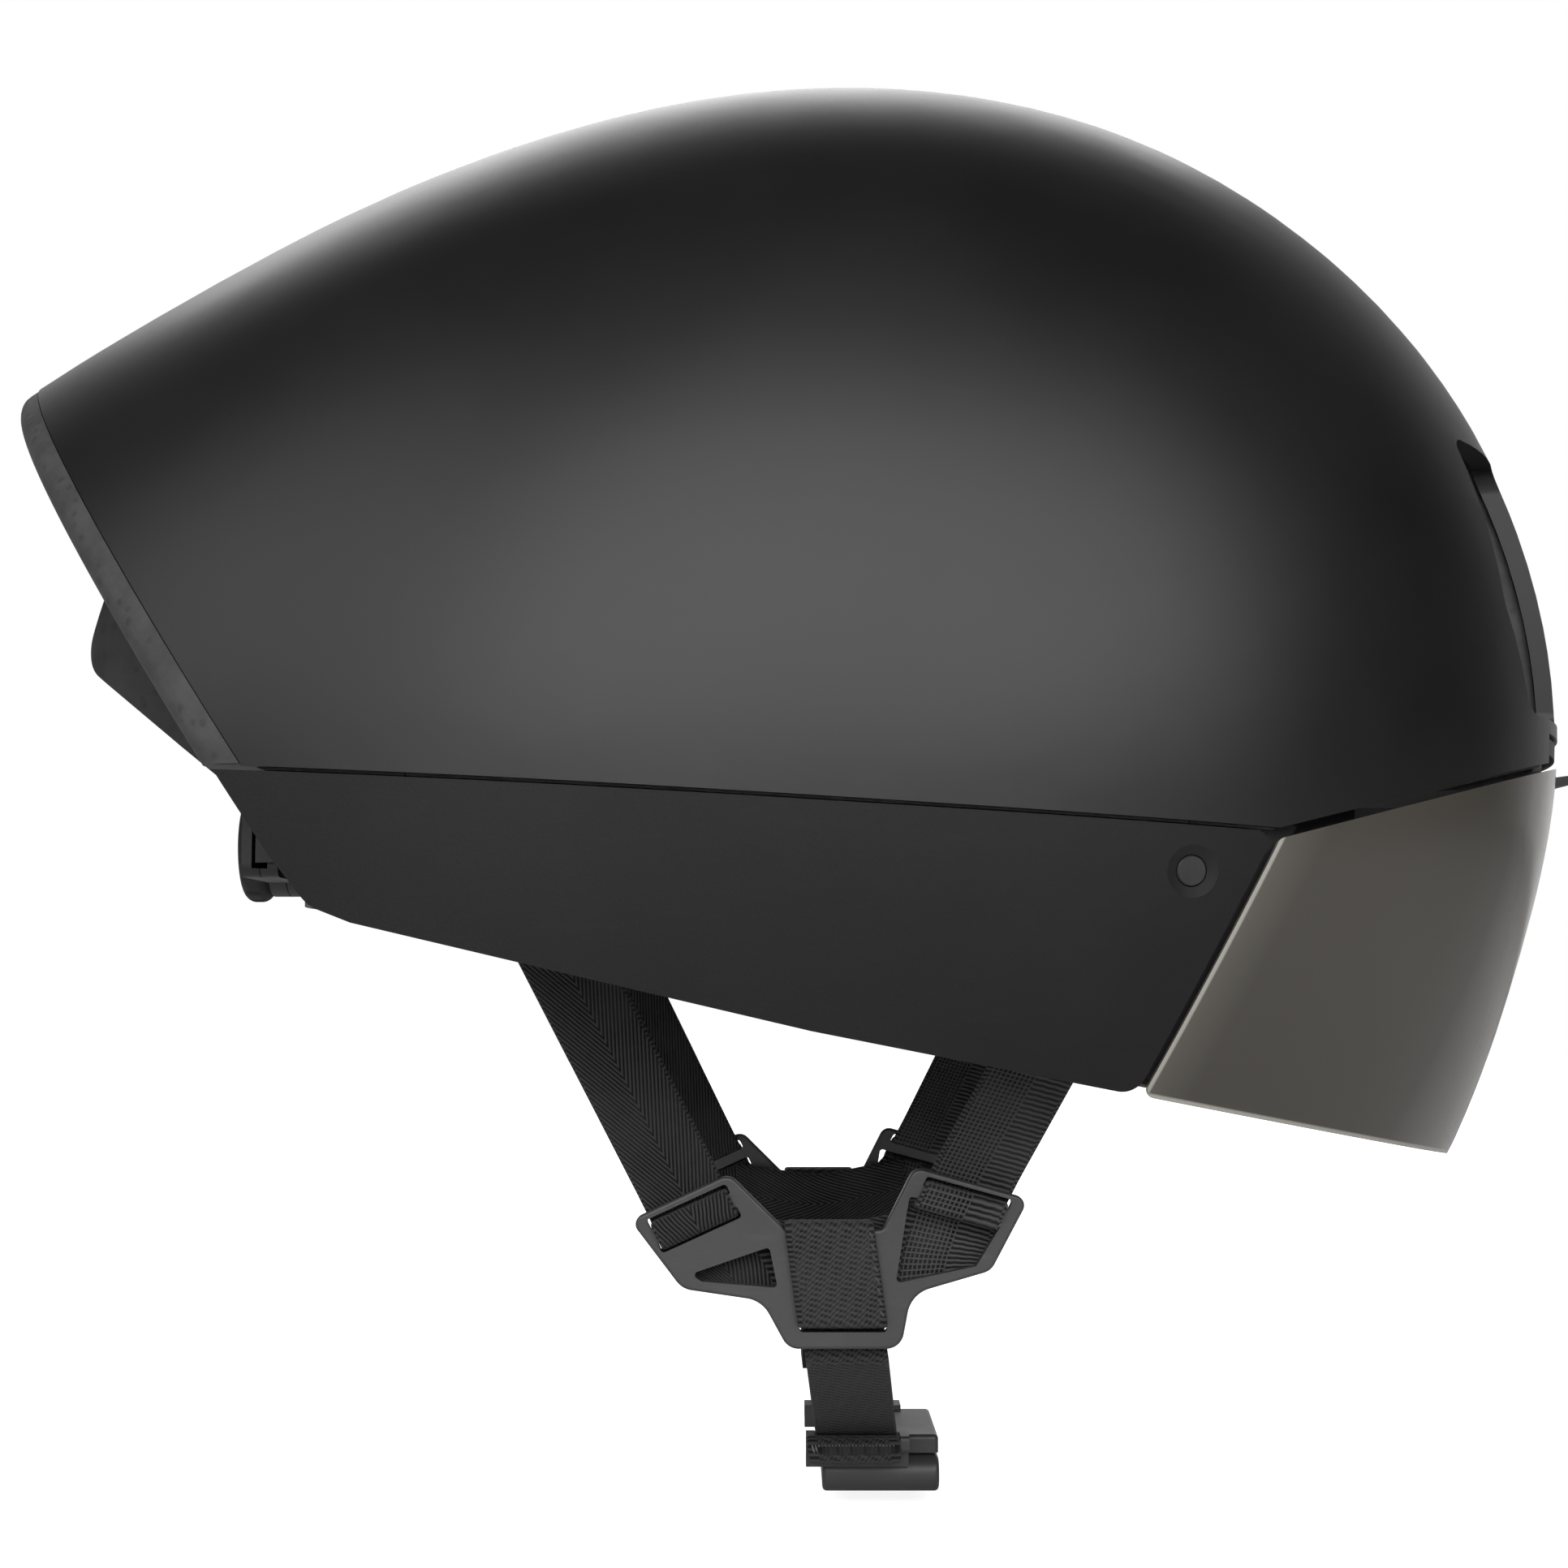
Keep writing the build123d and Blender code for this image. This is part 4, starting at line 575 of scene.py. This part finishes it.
YOKE_TOP, YOKE_HEIGHT, BRIDGE_SHARE, CHIN_SLOT_RISE = -67.7, 29.2, 0.346, 2.7
BRIDGE_TOP = YOKE_TOP - BRIDGE_SHARE * YOKE_HEIGHT
CHIN_SLOT = YOKE_TOP - YOKE_HEIGHT + CHIN_SLOT_RISE
INNER_END, LEAVE_BELOW, FIRST_RUN = 7.0, 2.0, 8.0
CHIN_X, CHIN_DRIFT = 7.4, 0.137
OUTER_SPREAD = 1.0
BACK_HALF, BACK_SETBACK = 6.3, 1.5
FOLD_WIDTH, FOLD_SHIFT, BELOW_YOKE = 16.4, 0.8, 6.0
BAR_Y, BAR_Z, BAR_R = 20.0, -119.6, 1.2
WRAP_R = BAR_R + SEAT + WEB_THICKNESS / 2
PLY = WEB_THICKNESS + SEAT


def chin_points(tail, close_to):
    """Heights and depths from the yoke's bridge, through its slot, round the buckle's bar and up the tail."""
    fold_z = BRIDGE_TOP + SEAT + WEB_THICKNESS / 2
    leave_z = CHIN_SLOT - CHIN_SLOT_RISE - LEAVE_BELOW
    cross_z = CHIN_SLOT + 2 * SEAT + WEB_THICKNESS / 2
    run_y = -BAR_Y - INNER_Y
    run_z = BAR_Z - leave_z
    lean = math.degrees(math.atan2(run_z, run_y) + math.asin(WRAP_R / math.hypot(run_y, run_z)))
    ahead = (cos(lean), sin(lean))
    beside = (-sin(lean), cos(lean))
    path = [
        (BRIDGE_TOP - INNER_END, INNER_Y),
        (fold_z, INNER_Y),
        (fold_z, OUTER_Y),
        (cross_z, OUTER_Y),
        (cross_z, INNER_Y),
        (leave_z, INNER_Y),
    ]
    for angle in range(0, 181, 15):
        out, on = WRAP_R * cos(angle), WRAP_R * sin(angle)
        path.append((BAR_Z + beside[1] * out + ahead[1] * on,
                     -BAR_Y + beside[0] * out + ahead[0] * on))
    back = WRAP_R - close_to
    for run in ((FIRST_RUN, tail) if tail > FIRST_RUN else (tail,)):
        path.append((BAR_Z + beside[1] * back - ahead[1] * run,
                     -BAR_Y + beside[0] * back - ahead[0] * run))
    return path


def chin_middle(y, z, shift=0.0):
    """Middle of the chin webbing at a height, as it drifts forward on its way down."""
    return Vector((CHIN_X - shift + CHIN_DRIFT * (BRIDGE_TOP - z), y, z)) * MM


def chin_tape(name, side, tail, close_to, material):
    """Strap over the yoke's bridge and down to the buckle, a little wider on the plate and below it."""
    stations = []
    for z, y in chin_points(tail, close_to):
        spread = y == OUTER_Y or z < CHIN_SLOT - BELOW_YOKE
        wide = WEB_WIDTH + OUTER_SPREAD if spread else WEB_WIDTH
        stations.append((chin_middle(-side * y, z), Vector((wide * MM, 0, 0))))
    return Tape(name, stations, WEB_THICKNESS * MM, material)


REAR_SLOT, REAR_ANGLES, REAR_TOP = (-15.5, -74.2), (24.4, 116.7), (76.0, -5.0)
FRONT_SLOT, FRONT_ANGLES, FRONT_TOP = (29.8, -72.0), (-15.4, 62.2), (80.0, -11.0)
REAR_FLAP = ((-12.8, -80.2, 7.6, 2.8), (-9.6, -84.0, 8.6, 0.8), (-7.6, -87.2, 8.0, -0.8))
FRONT_FLAP = ((27.2, -78.0, 8.0, -2.2), (25.6, -82.5, 7.8, -0.6), (24.8, -86.0, 7.4, 1.3))
BACK_PATH, BACK_RADIUS = ((-10.0, -81.6), (7.4, -84.0), (25.0, -80.4)), 4.0
for side, word in SIDES:
    rear = upper_tape("tape_rear_" + word, side, REAR_SLOT, *REAR_ANGLES, REAR_TOP, REAR_FLAP, herringbone)
    front = upper_tape("tape_front_" + word, side, FRONT_SLOT, *FRONT_ANGLES, FRONT_TOP, FRONT_FLAP, ribbed)
    for tape, node in ((rear, "rear_strap_"), (front, "front_strap_")):
        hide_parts(node + word)
        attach(tape.piece, "helmet")

    back_y = side * (YOKE_Y - LIFT - BACK_SETBACK)
    stations = [(Vector((x, back_y, z)) * MM, Vector((0, 0, 2 * BACK_HALF)) * MM) for x, z in BACK_PATH]
    back = Tape("tape_back_" + word, stations, WEB_THICKNESS * MM, herringbone, radius=BACK_RADIUS)
    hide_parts("rear_strap_" + word)
    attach(back.piece, "helmet")

# The chin straps. Below the yoke the right one hangs slack, with its weave pulled long and its colour
# darkened as painted shade.
RIGHT_TAIL, LEFT_TAIL = 4.0, 30.0
chin_right = chin_tape("tape_chin_right", -1, RIGHT_TAIL, 2 * WRAP_R, paints["webbing"])
chin_right.piece.data.materials.append(shaded_slack_webbing)
# Painted shade: the faces below the yoke take the darker copy
for face in chin_right.piece.data.polygons:
    if face.center.z < (CHIN_SLOT - BELOW_YOKE) * MM:
        face.material_index = 1

# The right strap's rolled end, its hem and the stitches along its front edge
FOLD_PATH = ((-21.4, -118.4), (-23.1, -119.2), (-23.3, -121.4), (-21.8, -122.2))
fold_stations = [(chin_middle(y, z, FOLD_SHIFT), Vector((FOLD_WIDTH * MM, 0, 0))) for y, z in FOLD_PATH]
fold = Tape("fold_chin_right", fold_stations, WEB_THICKNESS * MM, paints["webbing"])
HEM_RUNS, HEM_SLANT, HEM_PITCH, HEM_MARGINS, HEM_THREAD = (1.9, 3.5), 0.45, 0.6, (0.8, 1.0), 0.13
hem_places = np.arange(-FOLD_WIDTH / 2 + HEM_MARGINS[0], FOLD_WIDTH / 2 - HEM_MARGINS[1], HEM_PITCH)
hem = [((HEM_RUNS[0], v), (HEM_RUNS[1], v + HEM_SLANT)) for v in hem_places]
hem_thread = stitches("stitch_hem", fold, hem, -1, pale_thread, HEM_THREAD * MM)
EDGE_RUNS, EDGE_PITCH, EDGE_LENGTH = (12.6, 26.6), 1.8, 1.3
EDGE_INSET, EDGE_SLANT, EDGE_THREAD = 0.7, (-0.25, 0.35), 0.17
edge_v = (WEB_WIDTH + OUTER_SPREAD) / 2 - EDGE_INSET
edge_rows = [((run, edge_v + EDGE_SLANT[0]), (run + EDGE_LENGTH, edge_v + EDGE_SLANT[1]))
             for run in np.arange(*EDGE_RUNS, EDGE_PITCH)]
edge_thread = stitches("stitch_edge_right", chin_right, edge_rows, -1, dull_thread, EDGE_THREAD * MM)
for piece in (chin_right.piece, fold.piece, hem_thread, edge_thread):
    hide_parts("chin_strap_right")
    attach(piece, "helmet")

chin_left = chin_tape("tape_chin_left", 1, LEFT_TAIL, PLY, paints["webbing"])
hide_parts("chin_strap_left")
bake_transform(chin_left.piece)


# Seals behind the gap between the shield and the side panels

SEAL_FRONT, SEAL_REAR, SEAL_STEPS = -2.0, 3.0, (1, 8, 15, 22, 29, 36, 42)
SEAL_LIFT, SEAL_THICKNESS, SEAL_RADIUS, SEAL_EXTRA = 0.45, 0.8, 4.0, 0.6
INSIDE_Y = 0.07


def inner_wall(node):
    """Function that gives the place in Y of a node's inner face at an x and z, for one side."""
    mesh = nodes[node].data
    tree = BVHTree.FromPolygons([v.co for v in mesh.vertices], [tuple(p.vertices) for p in mesh.polygons])

    def find(x, z, side):
        start = Vector((x * MM, side * INSIDE_Y, z * MM))
        return tree.ray_cast(start, Vector((0, side, 0)))[0].y / MM
    return find


def seal(side, word):
    """Rubber strip along the shield's rear edge, from behind the shield to behind the panel."""
    top, way = LENS_REAR
    lens, panel = inner_wall("visor_lens"), inner_wall("side_panel_" + word)
    size = math.hypot(*way)
    down = (way[0] / size, way[1] / size)
    away = (down[1], -down[0])
    stations = []
    for run in SEAL_STEPS:
        ends = []
        for reach, wall, lift in ((SEAL_FRONT, lens, 2 * SEAL_LIFT), (SEAL_REAR, panel, SEAL_LIFT)):
            x = top[0] + down[0] * run + away[0] * reach
            z = top[1] + down[1] * run + away[1] * reach
            ends.append(Vector((x, wall(x, z, side) - side * lift, z)) * MM)
        stations.append(((ends[0] + ends[1]) / 2, ends[1] - ends[0]))
    first, second = stations[:2]
    more = 1 + SEAL_EXTRA
    stations.insert(0, tuple(a * more - b * SEAL_EXTRA for a, b in zip(first, second)))
    strip = Tape("seal_" + word, stations, SEAL_THICKNESS * MM, paints["grip_rubber"], radius=SEAL_RADIUS)
    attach(strip.piece, "helmet")


for side, word in SIDES:
    seal(side, word)


# Bands, copied and cut across so that they can bend. Places in metres.

WELD, BAND_SHARP = 1e-6, 40


def sliced(node, name, axis, places, keep=(None, None)):
    """Copy of a node's mesh cut across an axis, so that it can bend. keep is a low and a high end."""
    work = bmesh.new()
    work.from_mesh(nodes[node].data)
    bmesh.ops.remove_doubles(work, verts=work.verts, dist=WELD)
    normal = Vector((axis == "x", axis == "y", axis == "z"))

    def cut(place, **clear):
        everything = work.verts[:] + work.edges[:] + work.faces[:]
        bmesh.ops.bisect_plane(work, geom=everything, plane_co=normal * place, plane_no=normal, **clear)

    for place in places:
        cut(place)
    for place, low in zip(keep, (True, False)):
        if place is not None:
            cut(place, clear_inner=low, clear_outer=not low)
            bmesh.ops.holes_fill(work, edges=[edge for edge in work.edges if edge.is_boundary])
    mesh = bpy.data.meshes.new(name)
    work.to_mesh(mesh)
    work.free()
    mesh.shade_smooth()
    mesh.set_sharp_from_angle(angle=math.radians(BAND_SHARP))
    mesh.materials.append(paints[slot_of[node]])
    return link(name, mesh)


BAND_FRONT, BAND_MIDDLE, BAND_REAR, BAND_STEP, BAND_CUTS = 0.038, -0.018, -0.09, 0.004, 34
BLADE_FOOT, BLADE_STEP, BLADE_CUTS = -0.016, 0.002, 26
for _, word in SIDES:
    stops = [BAND_REAR + BAND_STEP * k for k in range(BAND_CUTS)]
    front = sliced("headband_" + word, "band_front_" + word, "x", stops, (BAND_MIDDLE, None))
    rear = sliced("headband_" + word, "band_rear_" + word, "x", stops, (None, BAND_MIDDLE))
    for piece in (front, rear):
        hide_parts("headband_" + word)
    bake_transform(front)
    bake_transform(rear)

blade_stops = [BLADE_FOOT + BLADE_STEP * k for k in range(BLADE_CUTS)]
blade = sliced("height_strap", "height_blade", "z", blade_stops)
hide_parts("height_strap")
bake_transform(blade)


# Cushions. Sizes in metres.

HEAD = Vector((12, 0, 2)) * MM
WALL_FACING, SEAM_FACING, SHRINK = 0.45, 0.2, 0.0003
PRESSURE, STIFFNESS, QUALITY, FRAMES = 4, 12, 6, 20
SEAM_DEPTH, SEAM_WIDTH = 0.0016, 0.0012
CLOSE_TO_NONE = 1e-9


def evaluated_mesh(made):
    return bpy.data.meshes.new_from_object(made.evaluated_get(bpy.context.evaluated_depsgraph_get()))


def corners(mesh):
    places = np.empty(len(mesh.vertices) * 3)
    mesh.vertices.foreach_get("co", places)
    return places.reshape(-1, 3)


def blown_up(made, wall):
    """Places of a piece's corners after a cloth run with pressure, its wall side pinned."""
    pins = made.vertex_groups.new(name="pins")
    pins.add([int(k) for k in np.flatnonzero(wall)], 1.0, "REPLACE")
    cloth = made.modifiers.new("cloth", "CLOTH")
    cloth.settings.vertex_group_mass = "pins"
    cloth.settings.use_pressure = True
    cloth.settings.uniform_pressure_force = PRESSURE
    cloth.settings.effector_weights.gravity = 0
    cloth.settings.quality = QUALITY
    cloth.settings.tension_stiffness = STIFFNESS
    cloth.settings.compression_stiffness = STIFFNESS
    scene = bpy.context.scene
    for number in range(1, FRAMES + 1):
        scene.frame_set(number)
    blown = evaluated_mesh(made)
    shape = corners(blown)
    made.modifiers.clear()
    made.vertex_groups.clear()
    scene.frame_set(1)
    bpy.data.meshes.remove(blown)
    return shape


def cushion(node, name, body, seams=(), swell=0.0012, voxel=0.0022):
    """Comfort pad: remeshed from its solid, blown up by a cloth run, and held against its wall.

    A seam is an axis and a place on it, across which the pad's head side dips.
    """
    mesh = nodes[node].data.copy()
    mesh.name = name
    made = link(name, mesh)
    remesh = made.modifiers.new("remesh", "REMESH")
    remesh.mode = "VOXEL"
    remesh.voxel_size = voxel
    bpy.context.view_layer.update()
    baked = evaluated_mesh(made)
    made.modifiers.clear()
    made.data = baked

    normal = np.array([v.normal[:] for v in baked.vertices])
    start = corners(baked)
    outward = start - np.array(HEAD)
    outward /= np.linalg.norm(outward, axis=1)[:, None]
    facing = np.einsum("ij,ij->i", normal, outward)
    wall = facing > WALL_FACING
    start = start - normal * SHRINK
    shape = start.copy()
    baked.vertices.foreach_set("co", start.ravel())
    shape = blown_up(made, wall)
    move = shape - start
    size = np.linalg.norm(move, axis=1)
    cap = np.where(wall, 0.0, swell)
    shape = start + move * (np.minimum(size, cap) / np.maximum(size, CLOSE_TO_NONE))[:, None]
    for axis, place in seams:
        near = np.exp(-((shape[:, axis] - place) / SEAM_WIDTH) ** 2)
        dip = np.where(facing < SEAM_FACING, SEAM_DEPTH, 0.0) * near
        shape += outward * dip[:, None]
    baked.vertices.foreach_set("co", shape.ravel())
    baked.materials.clear()
    baked.materials.append(paints["pad_fabric"])

    work = bmesh.new()
    work.from_mesh(baked)
    bmesh.ops.smooth_vert(work, verts=work.verts, factor=0.5,
                          use_axis_x=True, use_axis_y=True, use_axis_z=True)
    bmesh.ops.subdivide_edges(work, edges=work.edges[:], cuts=1, smooth=0.6, use_grid_fill=True)
    work.to_mesh(baked)
    work.free()
    baked.shade_smooth()
    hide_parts(node)
    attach(made, body)


X, Y = 0, 1
cushion("brow_pad", "cushion_brow", "helmet", ((Y, -0.026), (Y, 0), (Y, 0.026)))
cushion("crown_pad", "cushion_crown", "helmet", ((X, -0.006), (X, 0.026)))
cushion("side_pad_right", "cushion_right", "helmet", ((X, 0.005),))
cushion("side_pad_left", "cushion_left", "helmet", ((X, 0.005),))
cushion("cradle_pads", "cushion_cradle", "cradle", voxel=0.0016, swell=0.0006)


# Studio. Places in metres, powers in watts.

def light(name, location, target, size, size_y, power):
    data = bpy.data.lights.new(name, "AREA")
    data.shape = "ELLIPSE"
    data.size = size
    data.size_y = size_y
    data.energy = power
    made = link(name, data)
    made.location = location
    made.rotation_mode = "QUATERNION"
    made.rotation_quaternion = (Vector(target) - Vector(location)).to_track_quat("-Z", "Y")


light("key_front", (-0.05, -1.5, 0.66), (-0.03, -0.08, 0.03), 2.1, 1.25, 21)
light("rim_back", (-0.15, 1.3, 1.15), (-0.03, 0, 0.05), 1.6, 0.7, 8)
light("key_rear", (-1.15, -0.75, 0.8), (-0.06, -0.06, 0.03), 0.9, 0.9, 3.6)
light("key_brow", (0.85, -1.15, 0.75), (0.05, -0.08, 0.03), 0.7, 0.7, 2.6)

# The world is white to the camera and through glass. As a light it is dim, and bright toward +Y.
DIM, BRIGHT, DIM_TO, BRIGHT_FROM = 0.01, 0.9, 0.35, 0.98
world = bpy.data.worlds.new("studio")
bpy.context.scene.world = world
world.use_nodes = True
sky = Graph(world.node_tree)
rays = sky.node("ShaderNodeLightPath").outputs
seen = sky.highest(rays["Is Camera Ray"], rays["Is Transmission Ray"])
backward = sky.axes(sky.node("ShaderNodeTexCoord").outputs["Generated"])[1]
behind = sky.span(backward, DIM_TO, BRIGHT_FROM, DIM, BRIGHT)
sky.feed(sky.tree.nodes["Background"].inputs[0], sky.blend(seen, behind, (1, 1, 1)))

# The floor glows to the camera alone, to full white away from the object, and keeps the object's shadow.
# From below, the camera sees through it.
FLOOR_GREY, NEAR, FAR, GLOW_NEAR, GLOW_FAR = 0.8, 0.15, 0.5, 0.86, 1.0
floor_paint = Paint("floor_paint", Base_Color=(FLOOR_GREY, FLOOR_GREY, FLOOR_GREY, 1), Roughness=0.6)
rays = floor_paint.node("ShaderNodeLightPath").outputs
away = floor_paint.node("ShaderNodeVectorMath", operation="LENGTH")
floor_paint.feed(away.inputs[0], floor_paint.place)
share = floor_paint.span(away.outputs["Value"], NEAR, FAR, GLOW_NEAR, GLOW_FAR)
glow = floor_paint.node("ShaderNodeEmission")
floor_paint.feed(glow.inputs["Strength"], floor_paint.times(rays["Is Camera Ray"], share))
lit = floor_paint.node("ShaderNodeAddShader")
floor_paint.feed(lit.inputs[0], floor_paint.shader.outputs[0])
floor_paint.feed(lit.inputs[1], glow.outputs[0])
backfacing = floor_paint.node("ShaderNodeNewGeometry").outputs["Backfacing"]
open_below = floor_paint.node("ShaderNodeMixShader")
floor_paint.feed(open_below.inputs[0], floor_paint.times(rays["Is Camera Ray"], backfacing))
floor_paint.feed(open_below.inputs[1], lit.outputs[0])
floor_paint.feed(open_below.inputs[2], floor_paint.node("ShaderNodeBsdfTransparent").outputs[0])
floor_paint.feed(floor_paint.tree.nodes["Material Output"].inputs[0], open_below.outputs[0])
FLOOR_REACH, FLOOR_Z = 3.0, -0.1315
rim = [(x * FLOOR_REACH, y * FLOOR_REACH, FLOOR_Z) for x, y in ((-1, -1), (1, -1), (1, 1), (-1, 1))]
floor = add_mesh("floor", rim, [(0, 1, 2, 3)], floor_paint.material)

# The photograph's camera, aimed at the origin
LENS, SENSOR, CLIP = 59.5, 36, 0.01
EYE = (0, -0.490, -0.0395)
camera_data = bpy.data.cameras.new("camera")
camera_data.lens = LENS
camera_data.sensor_width = SENSOR
camera_data.clip_start = CLIP
camera = link("camera", camera_data)
camera.location = EYE
camera.rotation_mode = "QUATERNION"
camera.rotation_quaternion = (-camera.location).to_track_quat("-Z", "Y")
bpy.context.scene.camera = camera
bpy.context.scene.view_settings.view_transform = "Standard"
